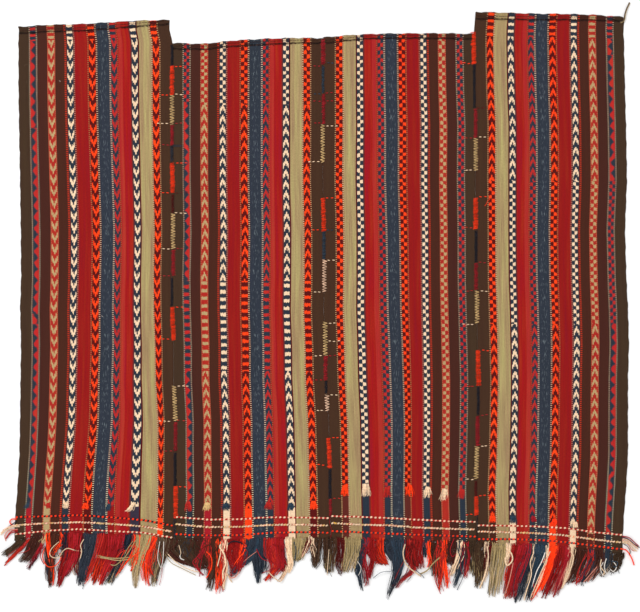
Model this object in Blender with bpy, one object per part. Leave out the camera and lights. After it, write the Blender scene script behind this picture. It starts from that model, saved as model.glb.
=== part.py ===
"""Flat-woven kilim rug: four striped strips sewn side by side, with a cut fringe.

The rug lies flat, seen from above. X runs across the strips, Y up towards the hemmed end, and
the underside is at Z = 0. Sizes are millimetres: "down" is measured from the highest point of the
hemmed end towards the fringe, and x from the middle of the rug. Places read from the photograph
are in its pixels.
"""
import math
import random

import bmesh
import bpy
import numpy as np

MM = 0.001

CLOTH = 2.0             # thickness of the woven cloth
HEM_DEPTH = 13.0        # how far the turned-in hem reaches down
HEM_EXTRA = 1.1         # what the turned-in layer adds to the thickness
EDGE_DIP = 0.6          # the cloth is pressed thinner where it is sewn to its neighbour
EDGE_ZONE = 9.0         # width of that pressed edge
TWINED_RISE = (0.7, 1.0, 0.7)   # height of the three twined rows above the cloth
TWINED_HALF = 3.0       # half the width of a twined row
RIPPLE = 0.22           # height of the soft unevenness of the cloth
RIPPLE_LENGTH = 210.0
GAP = 0.3               # gap between pieces that touch
CLEAR = 4.0             # least distance between two rows of faces
CLOTH_COLUMNS = (0.0, 0.022, 0.2, 0.4, 0.6, 0.8, 0.978, 1.0)

ROOT_BAND = 6.0         # height of the narrow strip that holds the fringe's roots
LOCKS = 44              # locks of fringe under each strip
LOCK_SHARE = 0.76       # share of a lock's lane that its root fills
LOCK_TAPER = 0.55       # width of a tip against its root
LOCK_THICK = 1.9
TIP_THICK = 1.1
LOCK_STEPS = 4
LEAN_DEPTH = 145.0      # depth at which the leans in the fringe's table are given
LENGTH_SPREAD = 0.10    # how unevenly neighbouring locks are cut
SEED = 7

# The tables below are places read by eye from the photograph, in its pixels. to_x and to_down turn
# them into millimetres.
MM_PER_PIXEL = 2.6      # real size of one pixel
MIDDLE_PIXEL = 320.0    # pixel column of x = 0
TOP_PIXEL = 12.0        # pixel row of the highest point of the hemmed end

# Edges of the four strips: left edge, the three seams, right edge. Each strip has a row of faces at
# each of these pixel rows, so that neighbours bend at the same places and stay a gap apart.
EDGE_NAMES = ("row", "left", "seam_1", "seam_2", "seam_3", "right")
EDGES = (
    (12, 17.5, 169.5, 323.0, 475.5, 624.0),
    (30, 18.5, 169.5, 323.0, 474.0, 623.5),
    (42, 18.5, 172.5, 323.0, 473.5, 624.0),
    (90, 18.5, 172.3, 323.0, 474.3, 625.0),
    (125, 19.0, 172.3, 323.0, 475.7, 626.0),
    (180, 20.0, 172.5, 322.7, 475.3, 627.0),
    (230, 20.8, 173.2, 324.0, 475.9, 625.0),
    (280, 21.0, 172.0, 324.3, 476.0, 626.5),
    (310, 20.0, 172.5, 323.7, 476.9, 628.0),
    (345, 21.0, 173.5, 325.2, 477.6, 629.0),
    (380, 20.5, 173.5, 326.0, 478.5, 628.0),
    (420, 20.0, 175.5, 328.5, 477.8, 628.0),
    (455, 19.3, 175.4, 329.5, 477.0, 628.0),
    (490, 17.3, 175.8, 330.2, 475.8, 626.0),
    (515, 15.2, 175.3, 330.6, 476.6, 624.0),
    (545, 14.0, 174.5, 331.0, 477.4, 622.5),
)

# Levels along each strip, as pixel rows: its hemmed top, its three twined rows and the roots of its
# fringe, at shares of the strip's width from left to right.
LEVEL_NAMES = ("across", "top", "row_1", "row_2", "row_3", "root")
LEVELS = {
    1: ((0.0, 27.0, 517.0, 525.0, 534.0, 543.0),
        (0.2, 25.0, 516.0, 523.0, 530.5, 537.0),
        (0.4, 24.3, 515.0, 522.0, 529.0, 536.5),
        (0.6, 22.5, 517.3, 523.8, 531.0, 537.5),
        (0.8, 20.7, 520.0, 526.3, 532.5, 538.5),
        (1.0, 20.0, 526.0, 532.0, 538.0, 542.0)),
    2: ((0.0, 43.0, 517.0, 524.0, 534.0, 542.0),
        (0.2, 44.0, 519.5, 527.0, 535.3, 543.0),
        (0.4, 40.7, 519.0, 526.7, 535.0, 543.5),
        (0.6, 39.0, 517.2, 524.9, 532.7, 542.0),
        (0.8, 38.0, 517.4, 524.4, 532.0, 541.0),
        (1.0, 38.3, 518.0, 525.7, 532.5, 541.5)),
    3: ((0.0, 37.5, 516.0, 523.0, 531.0, 541.0),
        (0.2, 35.0, 516.8, 524.6, 532.2, 541.5),
        (0.4, 33.7, 518.0, 525.2, 533.5, 542.5),
        (0.6, 33.5, 519.6, 527.5, 534.6, 543.5),
        (0.8, 33.4, 521.0, 528.6, 535.6, 544.5),
        (1.0, 34.0, 521.7, 529.4, 536.6, 545.0)),
    4: ((0.0, 12.0, 525.3, 531.4, 539.0, 546.0),
        (0.2, 12.8, 525.6, 532.0, 539.0, 546.8),
        (0.4, 13.8, 526.3, 533.0, 539.6, 548.0),
        (0.6, 14.0, 528.0, 535.3, 542.0, 550.0),
        (0.8, 15.0, 532.0, 539.3, 545.6, 553.5),
        (1.0, 17.0, 535.0, 542.6, 549.4, 557.0)),
}

# The fringe, in pixels: a lock's column from the first lock to the last, how far it reaches below
# its root, and how far it would lean to the right (left if negative) at LEAN_DEPTH.
FRINGE_NAMES = ("column", "reach", "lean")
FRINGE = {
    1: ((16, 9, -35), (27, 23, -46), (40, 22, -30), (47, 25, -15), (52, 45, -8), (63, 48, -8),
        (76, 44, -12), (90, 46, -12), (109, 45, -17), (120, 42, -23), (131, 40, -25), (140, 42, -12),
        (146, 48, -8), (154, 44, -5), (162, 27, -2), (173, 12, 0)),
    2: ((176, 18, 24), (190, 24, 18), (203, 32, 9), (212, 49, 3), (222, 50, 0), (231, 38, 0),
        (240, 32, -2), (247, 18, -6), (254, 16, -3), (260, 38, 0), (268, 41, -3), (280, 38, -8),
        (290, 32, -8), (297, 20, -9), (305, 16, -8), (314, 20, -4), (323, 12, -4), (329, 5, -3)),
    3: ((332, 30, -8), (346, 31, -5), (356, 30, -6), (362, 47, -3), (369, 45, 0), (375, 20, 2),
        (384, 21, 2), (391, 44, -6), (397, 52, -9), (402, 34, -7), (407, 24, -2), (418, 27, 2),
        (426, 24, 0), (433, 28, 0), (438, 46, 0), (445, 43, 0), (450, 25, -3), (457, 34, -6),
        (463, 43, -8), (468, 32, -6), (475, 42, -4)),
    4: ((478, 43, -4), (487, 46, -8), (495, 51, -8), (504, 54, -9), (509, 43, -10), (517, 53, -14),
        (526, 54, -16), (534, 57, -18), (542, 55, -20), (553, 52, -25), (562, 49, -25), (570, 43, -23),
        (581, 34, -22), (590, 31, -26), (598, 26, -24), (607, 21, -12), (615, 15, -8), (622, 7, -4)),
}

# Yarn ends that stick out past the cloth. Each starts "along" the band that holds it, in mm from
# the band's first end, and ends "out" from the band and "drift" along it.
END_NAMES = ("along", "out", "drift", "width")
ENDS_LEFT = ((6, 9, 4, 5.0), (20, 36, 25, 5.0), (34, 20, 17, 4.5), (45, 18, 20, 4.0))
ENDS_RIGHT = ((5, 42, 24, 5.0), (17, 34, 18, 5.5), (34, 34, 47, 3.6))
END_TOP = ((5, 34, 24, 3.0),)
END_TOP_ACROSS = 0.965  # share of the fourth strip's width where that yarn's band starts
END_BAND = 3.0          # depth of the narrow band that holds a group of yarn ends


def column(table, names, name):
    """One named column of a table, as an array."""
    return np.array([row[names.index(name)] for row in table], dtype=float)


def to_x(pixel):
    """Millimetres right of the rug's middle, from a pixel column."""
    return (pixel - MIDDLE_PIXEL) * MM_PER_PIXEL


def to_down(pixel):
    """Millimetres below the hemmed end's highest point, from a pixel row."""
    return (pixel - TOP_PIXEL) * MM_PER_PIXEL


def edge_at(name, down):
    """x of a strip's edge at a distance down the rug."""
    downs = to_down(column(EDGES, EDGE_NAMES, "row"))
    return float(np.interp(down, downs, to_x(column(EDGES, EDGE_NAMES, name))))


def level_at(strip, name, across):
    """Distance down the rug of a named level, at a share of the strip's width."""
    table = LEVELS[strip]
    downs = to_down(column(table, LEVEL_NAMES, name))
    return float(np.interp(across, column(table, LEVEL_NAMES, "across"), downs))


def strip_x(strip, across, down):
    """x at a share of a strip's width, with half the gap left free at each side."""
    left = edge_at(EDGE_NAMES[strip], down) + GAP / 2
    right = edge_at(EDGE_NAMES[strip + 1], down) - GAP / 2
    return left + across * (right - left)


def point(x, down, height):
    """A point of the rug in metres, before the rug is centred."""
    return (x * MM, -down * MM, height * MM)


def material(name, color, roughness=0.9):
    """A plain wool finish."""
    finish = bpy.data.materials.new(name)
    finish.use_nodes = True
    shader = finish.node_tree.nodes["Principled BSDF"]
    shader.inputs["Base Color"].default_value = (*color, 1.0)
    shader.inputs["Roughness"].default_value = roughness
    shader.inputs["Metallic"].default_value = 0.0
    return finish


def new_object(name, bm, finish, collection, parent):
    """Puts a finished bmesh in the scene as one named sub-part."""
    bmesh.ops.recalc_face_normals(bm, faces=bm.faces)
    mesh = bpy.data.meshes.new(name)
    bm.to_mesh(mesh)
    bm.free()
    mesh.materials.append(finish)
    thing = bpy.data.objects.new(name, mesh)
    thing.parent = parent
    collection.objects.link(thing)
    return thing


def sheet_grid(columns, rows):
    """A flat grid of faces, with its points as a dictionary by column and row."""
    bm = bmesh.new()
    bmesh.ops.create_grid(bm, x_segments=columns - 1, y_segments=rows - 1, size=1.0)
    ordered = sorted(bm.verts, key=lambda v: (round(-v.co.y, 6), round(v.co.x, 6)))
    lattice = {(i % columns, i // columns): vert for i, vert in enumerate(ordered)}
    return bm, lattice


def thicken(bm, height_of):
    """Raises the top of a flat grid to its height and leaves one plain face under it."""
    under = bm.faces[:]
    raised = bmesh.ops.extrude_face_region(bm, geom=under, use_keep_orig=True)
    for vert in (v for v in raised["geom"] if isinstance(v, bmesh.types.BMVert)):
        vert.co.z = height_of(vert.co.x / MM, -vert.co.y / MM) * MM
    bmesh.ops.dissolve_faces(bm, faces=under)


def strip_rows(strip):
    """Rows of the strip's grid from the top down, each as a function of the share of its width."""
    def level(name, shift):
        return lambda across: level_at(strip, name, across) + shift

    table = LEVELS[strip]
    first = max(to_down(column(table, LEVEL_NAMES, "top"))) + HEM_DEPTH + TWINED_HALF + CLEAR
    last = min(to_down(column(table, LEVEL_NAMES, "row_1"))) - TWINED_HALF - CLEAR
    rows = [level("top", 0.0), level("top", HEM_DEPTH - TWINED_HALF), level("top", HEM_DEPTH + TWINED_HALF)]
    for down in to_down(column(EDGES, EDGE_NAMES, "row")):
        if first < down < last:
            rows.append(lambda across, fixed=down: fixed)
    for name in ("row_1", "row_2", "row_3"):
        rows += [level(name, shift) for shift in (-TWINED_HALF, 0.0, TWINED_HALF)]
    rows.append(level("root", -ROOT_BAND - GAP))
    return rows


def cloth_height(strip, x, down):
    """Height of the cloth's face: hem, pressed edges, twined rows and a soft unevenness."""
    left, right = strip_x(strip, 0.0, down), strip_x(strip, 1.0, down)
    across = (x - left) / (right - left)
    height = CLOTH
    if down < level_at(strip, "top", across) + HEM_DEPTH:
        height += HEM_EXTRA
    from_edge = min(x - left, right - x)
    height -= EDGE_DIP * max(0.0, 1.0 - from_edge / EDGE_ZONE)
    for number, rise in enumerate(TWINED_RISE, start=1):
        away = abs(down - level_at(strip, f"row_{number}", across))
        height += rise * max(0.0, 1.0 - away / TWINED_HALF)
    wave = math.sin(2 * math.pi * (down + 0.4 * x) / RIPPLE_LENGTH) * math.sin(x / 47.0 + strip)
    return height + RIPPLE * wave


def build_strip(strip, finish, collection, parent):
    """One woven strip, with its hem and its twined rows."""
    rows = strip_rows(strip)
    bm, lattice = sheet_grid(len(CLOTH_COLUMNS), len(rows))
    for (i, j), vert in lattice.items():
        across = CLOTH_COLUMNS[i]
        down = rows[j](across)
        vert.co = point(strip_x(strip, across, down), down, 0.0)
    thicken(bm, lambda x, down: cloth_height(strip, x, down))
    return new_object(f"strip_{strip}", bm, finish, collection, parent)


def grow_lock(bm, face, centres, widths, heights, side):
    """Extrudes a face of the band along a path: a lock, flat below, that narrows to its tip."""
    for centre, width, height in zip(centres, widths, heights):
        face = bmesh.ops.extrude_discrete_faces(bm, faces=[face])["faces"][0]
        middle = face.calc_center_median()
        for vert in face.verts:
            hand = 1 if (vert.co.x - middle.x) * side[0] + (vert.co.y - middle.y) * side[1] > 0 else -1
            is_top = vert.co.z > middle.z
            half = hand * width / 2 * (0.7 if is_top else 1.0)
            vert.co = point(centre[0] + half * side[0], centre[1] - half * side[1], height if is_top else 0.0)


def band_with_locks(name, inner, outer, locks, side, finish, collection, parent):
    """A narrow band between two rows of points, with a lock grown from every second face.

    inner and outer are the band's edges as lists of (x, down). Each lock is a list of centres,
    one of widths and one of heights. side is the direction along the band, +Y up.
    """
    bm, lattice = sheet_grid(len(inner), 2)
    for (i, j), vert in lattice.items():
        vert.co = point(*(outer if j else inner)[i], 0.0)
    thicken(bm, lambda x, down: LOCK_THICK)
    for number, lock in enumerate(locks):
        x = (outer[2 * number + 1][0] + outer[2 * number + 2][0]) / 2
        down = (outer[2 * number + 1][1] + outer[2 * number + 2][1]) / 2
        place = point(x, down, LOCK_THICK / 2)
        root = min(bm.faces, key=lambda f: sum((a - b) ** 2 for a, b in zip(f.calc_center_median(), place)))
        grow_lock(bm, root, *lock, side)
    return new_object(name, bm, finish, collection, parent)


def build_fringe(strip, finish, collection, parent):
    """The cut warps under one strip, in locks."""
    table = FRINGE[strip]
    columns = column(table, FRINGE_NAMES, "column")
    shares = (columns - columns[0]) / (columns[-1] - columns[0])
    reaches = column(table, FRINGE_NAMES, "reach") * MM_PER_PIXEL
    leans = column(table, FRINGE_NAMES, "lean") * MM_PER_PIXEL
    chance = random.Random(SEED + strip)
    lane = 1.0 / LOCKS
    cuts = [0.0]
    for number in range(LOCKS):
        cuts += [(number + 0.5 - LOCK_SHARE / 2) * lane, (number + 0.5 + LOCK_SHARE / 2) * lane]
    cuts.append(1.0)

    def band_edge(across, lift):
        down = level_at(strip, "root", across) - lift
        return (strip_x(strip, across, down), down)

    inner = [band_edge(cut, ROOT_BAND) for cut in cuts]
    outer = [band_edge(cut, 0.0) for cut in cuts]
    locks = []
    for number in range(LOCKS):
        across = (number + 0.5) * lane
        reach = np.interp(across, shares, reaches)
        reach *= 1.0 + LENGTH_SPREAD * (2 * chance.random() - 1)
        lean = np.interp(across, shares, leans)
        root_x, root_down = band_edge(across, 0.0)
        root_width = outer[2 * number + 2][0] - outer[2 * number + 1][0]
        steps = [(step + 1) / LOCK_STEPS for step in range(LOCK_STEPS)]
        centres = [(root_x + lean * reach * s / LEAN_DEPTH, root_down + reach * s) for s in steps]
        widths = [root_width * (1 - (1 - LOCK_TAPER) * s) for s in steps]
        heights = [LOCK_THICK + (TIP_THICK - LOCK_THICK) * s for s in steps]
        locks.append((centres, widths, heights))
    return band_with_locks(f"fringe_{strip}", inner, outer, locks, (1, 0), finish, collection, parent)


def build_ends(name, ends, start, along, out, finish, collection, parent):
    """Loose yarn ends in a narrow band beside the cloth.

    start is the band's first corner (x, down) on the cloth's side, along the direction of the
    band and out the direction in which the ends leave it, both in x and down.
    """
    length = max(row[0] for row in ends) + 5.0
    cuts = [0.0]
    for row in ends:
        half = row[END_NAMES.index("width")] / 2
        cuts += [row[0] - half, row[0] + half]
    cuts.append(length)

    def place(a, o):
        return (start[0] + a * along[0] + o * out[0], start[1] + a * along[1] + o * out[1])

    inner = [place(cut, 0.0) for cut in cuts]
    outer = [place(cut, END_BAND) for cut in cuts]
    locks = []
    for row in ends:
        first, reach, drift, width = row
        steps = [(step + 1) / LOCK_STEPS for step in range(LOCK_STEPS)]
        centres = [place(first + drift * s ** 1.4, END_BAND + reach * s) for s in steps]
        locks.append((centres, [width * (1 - 0.45 * s) for s in steps],
                      [LOCK_THICK + (TIP_THICK - LOCK_THICK) * s for s in steps]))
    side = (along[0], -along[1])
    return band_with_locks(name, inner, outer, locks, side, finish, collection, parent)


def clear_scene():
    """Takes away whatever the file opened with."""
    for thing in list(bpy.data.objects):
        bpy.data.objects.remove(thing, do_unlink=True)


def centre_rug(rug, parts):
    """Moves the rug's empty so that the middle of its underside is at the world's origin."""
    corners = np.array([vert.co for part in parts for vert in part.data.vertices])
    low, high = corners.min(axis=0), corners.max(axis=0)
    rug.location = (-(low[0] + high[0]) / 2, -(low[1] + high[1]) / 2, -low[2])


def main():
    clear_scene()
    collection = bpy.data.collections.new("kilim_rug")
    bpy.context.scene.collection.children.link(collection)
    rug = bpy.data.objects.new("rug", None)
    collection.objects.link(rug)

    woven = {1: material("wool strip 1", (0.13, 0.03, 0.02)), 2: material("wool strip 2", (0.15, 0.04, 0.03)),
             3: material("wool strip 3", (0.13, 0.03, 0.03)), 4: material("wool strip 4", (0.16, 0.05, 0.03))}
    cut_wool = material("cut warp wool", (0.22, 0.05, 0.03))
    cream_yarn = material("cream twining yarn", (0.75, 0.55, 0.38))
    brown_yarn = material("brown hemming yarn", (0.25, 0.19, 0.14))

    parts = []
    for strip in (1, 2, 3, 4):
        parts.append(build_strip(strip, woven[strip], collection, rug))
        parts.append(build_fringe(strip, cut_wool, collection, rug))

    left_down = level_at(1, "row_1", 0.0)
    left_x = min(edge_at("left", left_down + step) for step in (0, 25, 50)) - GAP
    parts.append(build_ends("twining_ends_left", ENDS_LEFT, (left_x, left_down), (0, 1), (-1, 0),
                            cream_yarn, collection, rug))
    right_down = level_at(4, "row_1", 1.0)
    right_x = edge_at("right", right_down) + GAP
    parts.append(build_ends("twining_ends_right", ENDS_RIGHT, (right_x, right_down), (0, 1), (1, 0),
                            cream_yarn, collection, rug))
    top_x = strip_x(4, END_TOP_ACROSS, 0.0)
    top_down = level_at(4, "top", END_TOP_ACROSS) - GAP
    parts.append(build_ends("yarn_end_top", END_TOP, (top_x, top_down), (1, 0), (0, -1),
                            brown_yarn, collection, rug))
    centre_rug(rug, parts)


main()
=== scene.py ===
import math

import bpy
import numpy as np
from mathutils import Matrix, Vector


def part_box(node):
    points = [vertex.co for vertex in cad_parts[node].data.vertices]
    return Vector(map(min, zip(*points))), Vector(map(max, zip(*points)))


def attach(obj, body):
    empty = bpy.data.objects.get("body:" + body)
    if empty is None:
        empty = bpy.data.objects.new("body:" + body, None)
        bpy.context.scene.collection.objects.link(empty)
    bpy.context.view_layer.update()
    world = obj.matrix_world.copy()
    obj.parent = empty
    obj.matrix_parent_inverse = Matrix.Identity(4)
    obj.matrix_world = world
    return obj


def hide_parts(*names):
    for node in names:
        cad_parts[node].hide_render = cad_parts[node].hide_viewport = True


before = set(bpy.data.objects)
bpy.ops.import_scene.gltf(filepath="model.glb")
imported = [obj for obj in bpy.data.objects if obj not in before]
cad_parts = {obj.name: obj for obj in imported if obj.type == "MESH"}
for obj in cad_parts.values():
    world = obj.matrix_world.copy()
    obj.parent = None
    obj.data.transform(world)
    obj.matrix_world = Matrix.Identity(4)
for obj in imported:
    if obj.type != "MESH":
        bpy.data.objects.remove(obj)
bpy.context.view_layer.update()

# Flat-woven kilim rug, seen from straight above. Lengths are in millimetres: x from the middle of
# the rug and "down" from the highest point of its hemmed end. Places read in the 640 x 612 view are
# in its pixels, which toX and toDown turn into those millimetres.

chance = np.random.default_rng(41)

rug = {
    "mmPerPixel": 2.6,        # real size of one pixel of the view
    "middlePixel": 320.0,     # pixel column of x = 0
    "topPixel": 12.0,         # pixel row of down = 0
    "gap": 0.3,               # mm left between neighbouring strips
    "thickness": 2.0,         # mm of the woven cloth
    "hemExtra": 1.1,          # mm that the turned-in hem adds
    "rootBand": 6.3,          # mm from the cloth's last weft to the roots of the fringe
}

# Read in the view, in pixels: a row, then the column of the left edge, of the three seams
# and of the right edge at that row.
edgeRows = np.array((
    (12, 17.5, 169.5, 323.0, 475.5, 624.0),
    (30, 18.5, 169.5, 323.0, 474.0, 623.5),
    (42, 18.5, 172.5, 323.0, 473.5, 624.0),
    (90, 18.5, 172.3, 323.0, 474.3, 625.0),
    (125, 19.0, 172.3, 323.0, 475.7, 626.0),
    (180, 20.0, 172.5, 322.7, 475.3, 627.0),
    (230, 20.8, 173.2, 324.0, 475.9, 625.0),
    (280, 21.0, 172.0, 324.3, 476.0, 626.5),
    (310, 20.0, 172.5, 323.7, 476.9, 628.0),
    (345, 21.0, 173.5, 325.2, 477.6, 629.0),
    (380, 20.5, 173.5, 326.0, 478.5, 628.0),
    (420, 20.0, 175.5, 328.5, 477.8, 628.0),
    (455, 19.3, 175.4, 329.5, 477.0, 628.0),
    (490, 17.3, 175.8, 330.2, 475.8, 626.0),
    (515, 15.2, 175.3, 330.6, 476.6, 624.0),
    (545, 14.0, 174.5, 331.0, 477.4, 622.5),
))

# Also in pixels: at a share of each strip's width, the rows of its hemmed top, of its three twined
# rows and of the roots of its fringe.
levelNames = ("across", "top", "row1", "row2", "row3", "root")
levelRows = {
    1: ((0.0, 27.0, 517.0, 525.0, 534.0, 543.0), (0.2, 25.0, 516.0, 523.0, 530.5, 537.0),
        (0.4, 24.3, 515.0, 522.0, 529.0, 536.5), (0.6, 22.5, 517.3, 523.8, 531.0, 537.5),
        (0.8, 20.7, 520.0, 526.3, 532.5, 538.5), (1.0, 20.0, 526.0, 532.0, 538.0, 542.0)),
    2: ((0.0, 43.0, 517.0, 524.0, 534.0, 542.0), (0.2, 44.0, 519.5, 527.0, 535.3, 543.0),
        (0.4, 40.7, 519.0, 526.7, 535.0, 543.5), (0.6, 39.0, 517.2, 524.9, 532.7, 542.0),
        (0.8, 38.0, 517.4, 524.4, 532.0, 541.0), (1.0, 38.3, 518.0, 525.7, 532.5, 541.5)),
    3: ((0.0, 37.5, 516.0, 523.0, 531.0, 541.0), (0.2, 35.0, 516.8, 524.6, 532.2, 541.5),
        (0.4, 33.7, 518.0, 525.2, 533.5, 542.5), (0.6, 33.5, 519.6, 527.5, 534.6, 543.5),
        (0.8, 33.4, 521.0, 528.6, 535.6, 544.5), (1.0, 34.0, 521.7, 529.4, 536.6, 545.0)),
    4: ((0.0, 12.0, 525.3, 531.4, 539.0, 546.0), (0.2, 12.8, 525.6, 532.0, 539.0, 546.8),
        (0.4, 13.8, 526.3, 533.0, 539.6, 548.0), (0.6, 14.0, 528.0, 535.3, 542.0, 550.0),
        (0.8, 15.0, 532.0, 539.3, 545.6, 553.5), (1.0, 17.0, 535.0, 542.6, 549.4, 557.0)),
}


def toX(pixel):
    # Millimetres right of the rug's middle, from a pixel column.
    return (pixel - rug["middlePixel"]) * rug["mmPerPixel"]


def toDown(pixel):
    # Millimetres below the hemmed end's highest point, from a pixel row.
    return (pixel - rug["topPixel"]) * rug["mmPerPixel"]


def toColumn(x):
    # The other way: a pixel column from x.
    return x / rug["mmPerPixel"] + rug["middlePixel"]


def toRow(down):
    # A pixel row from a distance down.
    return down / rug["mmPerPixel"] + rug["topPixel"]


# The same places in millimetres.
edges = np.column_stack([toDown(edgeRows[:, 0]), toX(edgeRows[:, 1:])])
levels = {}
for number, rows in levelRows.items():
    rows = np.array(rows)
    levels[number] = np.column_stack([rows[:, 0], toDown(rows[:, 1:])])

# Share of the width, and mm from the fold to the groove that the hem is stitched down in.
hemLines = {
    1: ((0.0, 18.0), (0.5, 17.0), (0.75, 15.5), (1.0, 11.0)),
    2: ((0.0, 15.0), (0.3, 14.5), (0.6, 15.0), (1.0, 13.0)),
    3: ((0.0, 15.5), (0.3, 12.0), (0.6, 12.5), (1.0, 14.0)),
    4: ((0.0, 18.0), (0.3, 16.5), (0.7, 15.0), (1.0, 11.5)),
}
hemLines = {strip: np.array(rows, float) for strip, rows in hemLines.items()}

# Stripes run in slow bows. size is how far a bow pulls them to the right (left if negative), middle
# how far down the bow lies and reach how far it goes up and down from there, all in mm. across is
# where it lies between the strip's edges and spread how wide it is, as shares of the strip's width.
bowNames = ("size", "middle", "reach", "across", "spread")
bows = {
    1: ((8.0, 620.0, 330.0, 0.5, 0.4), (-12.0, 1260.0, 160.0, 0.5, 0.4),
        (14.0, 1280.0, 330.0, 0.85, 0.08)),
    2: ((-4.0, 1150.0, 220.0, 0.55, 0.35),),
    3: ((7.0, 1050.0, 450.0, 0.42, 0.15), (-4.0, 1000.0, 500.0, 0.2, 0.12),
        (-3.0, 1200.0, 300.0, 0.64, 0.1)),
    4: ((-5.0, 1100.0, 500.0, 0.72, 0.3),),
}
stillEdge = 0.05          # share of the width at each edge over which the bows fade out

# Where part.py put the tables' zero, read back from the frame: the fourth strip's top is down = 0
# and its right edge is at its widest half a gap inside the table's.
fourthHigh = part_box("strip_4")[1]
originX = fourthHigh[0] * 1000 - (edges[:, 5].max() - rug["gap"] / 2)
originY = fourthHigh[1] * 1000


def place(x, down, height):
    # x, down and height in millimetres to a world point in metres.
    return np.stack(np.broadcast_arrays((x + originX) / 1000, (originY - down) / 1000,
                                        np.asarray(height, float) / 1000), axis=-1)


def photoPlace(px, py):
    # Pixels of the view to x and down in millimetres.
    return toX(np.asarray(px, float)), toDown(np.asarray(py, float))


def edgeX(number, down):
    # x of edge 0 (left) to 4 (right) at a distance down.
    return np.interp(down, edges[:, 0], edges[:, number + 1])


def levelDown(strip, name, across):
    table = levels[strip]
    return np.interp(across, table[:, 0], table[:, levelNames.index(name)])


def hemDepth(strip, across):
    return np.interp(across, hemLines[strip][:, 0], hemLines[strip][:, 1])


def clothX(strip, across, down):
    # Straight across from one edge to the other, half a gap inside both.
    left = edgeX(strip - 1, down) + rug["gap"] / 2
    right = edgeX(strip, down) - rug["gap"] / 2
    return left + across * (right - left)


def pulledAcross(strip, share, down):
    # Moves a stripe's share of the width sideways by the strip's bows. Each pulls by its size times
    # e ^ -((down - middle) / reach) ^ 2 times e ^ -((share - across) / spread) ^ 2, and every pull
    # fades to nothing at the edges.
    pull = np.zeros(np.broadcast(share, down).shape)
    for row in bows[strip]:
        bow = dict(zip(bowNames, row))
        along = np.exp(-((down - bow["middle"]) / bow["reach"]) ** 2)
        pull = pull + bow["size"] * along * np.exp(-((share - bow["across"]) / bow["spread"]) ** 2)
    fade = np.clip(np.minimum(share, 1 - share) / stillEdge, 0, 1)
    width = edgeX(strip, down) - edgeX(strip - 1, down)
    return share + pull * fade / width


def smoothStep(value, low, high):
    # 0 below low and 1 above high, with t * t * (3 - 2 * t) between them.
    t = np.clip((value - low) / (high - low), 0, 1)
    return t * t * (3 - 2 * t)


relief = {                # all in mm
    "hemStep": 2.0,           # over which the turned-in hem ends
    "grooveDepth": 0.8,       # where the hem is stitched down
    "grooveWidth": 1.4,
    "foldDrop": 0.8,          # how far the fold at the top is rounded down
    "edgeDip": 0.5,           # the cloth is pressed thinner beside a seam
    "edgeRound": 0.7,         # and its selvedge is round
    "ripple": 0.22,
    "rippleLength": 210.0,
    "pucker": 0.28,           # small puckers that the joining stitches pull
    "puckerLength": 41.0,
    "puckerReach": 22.0,
    "least": 0.5,
}


def clothHeight(strip, x, down):
    # Height of the cloth's face in mm: its thickness, the turned-in hem and the stitched groove
    # under it, edges pressed thin at the seams, a long soft ripple and small puckers by the seams.
    left = edgeX(strip - 1, down) + rug["gap"] / 2
    right = edgeX(strip, down) - rug["gap"] / 2
    across = np.clip((x - left) / (right - left), 0, 1)
    below = down - levelDown(strip, "top", across)
    fromHem = below - hemDepth(strip, across)
    height = rug["thickness"] + rug["hemExtra"] * (1 - smoothStep(fromHem, -relief["hemStep"], 0.0))
    # groove: depth * e ^ -(distance / width) ^ 2
    height = height - relief["grooveDepth"] * np.exp(-(fromHem / relief["grooveWidth"]) ** 2)
    height = height - relief["foldDrop"] * (1 - smoothStep(below, -0.2, 1.6))
    fromEdge = np.minimum(x - left, right - x)
    dip = relief["edgeDip"] * (1 - smoothStep(fromEdge, 2.0, 9.0))
    height = height - dip - relief["edgeRound"] * (1 - smoothStep(fromEdge, -0.1, 1.8))
    wave = np.sin(2 * np.pi * (down + 0.4 * x) / relief["rippleLength"])
    height = height + relief["ripple"] * wave * np.sin(x / 47 + strip)
    pucker = np.sin(2 * np.pi * down / relief["puckerLength"] + 3 * strip) * np.sin(down / 97.0 + strip)
    near = np.exp(-(fromEdge / relief["puckerReach"]) ** 2)
    height = height + relief["pucker"] * pucker * near * smoothStep(fromEdge, 0, 6)
    return np.maximum(height, relief["least"])


def linearColour(text):
    # sRGB hex to linear: c / 12.92 when dark, else ((c + 0.055) / 1.055) ^ 2.4.
    c = np.array([int(text[k:k + 2], 16) / 255 for k in (1, 3, 5)])
    return np.where(c <= 0.04045, c / 12.92, ((c + 0.055) / 1.055) ** 2.4)


# Dyed wools of the rug, as they look in even light.
dyes = {
    "olive brown": "#3e2b1c", "maroon brown": "#431f16", "dark brown": "#452014", "brown": "#41291a",
    "red": "#8f110f", "pinkish red": "#a82a22", "navy": "#2b313c", "orange": "#ff4010",
    "maroon": "#560c0a", "cream": "#eecdaa", "khaki": "#a28c60", "beige": "#b0986a",
    "motif red": "#b62620", "motif navy": "#262f3b", "crimson": "#a01824", "tan": "#ab9158",
    "slate": "#2b3d4c", "night": "#151a26", "purple": "#481a2c", "pink": "#d98a78",
    "grey brown": "#62503f", "chalk": "#e6ddd4", "yellow": "#f0b030",
    "orange red": "#ff3a12", "pale pink": "#f3c6a6", "orange pale": "#f08a58",
    "plum brown": "#2c1616", "brick": "#5c231b", "rust": "#7a4426", "ash": "#40343a",
    "deep red": "#a8251c", "straw": "#dcb67c", "dusk": "#352c3c", "warm red": "#9c1410",
    "wine": "#6a2220", "copper": "#8a5430", "garnet": "#4c1a14",
}
dyes = {name: linearColour(text) for name, text in dyes.items()}


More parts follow.
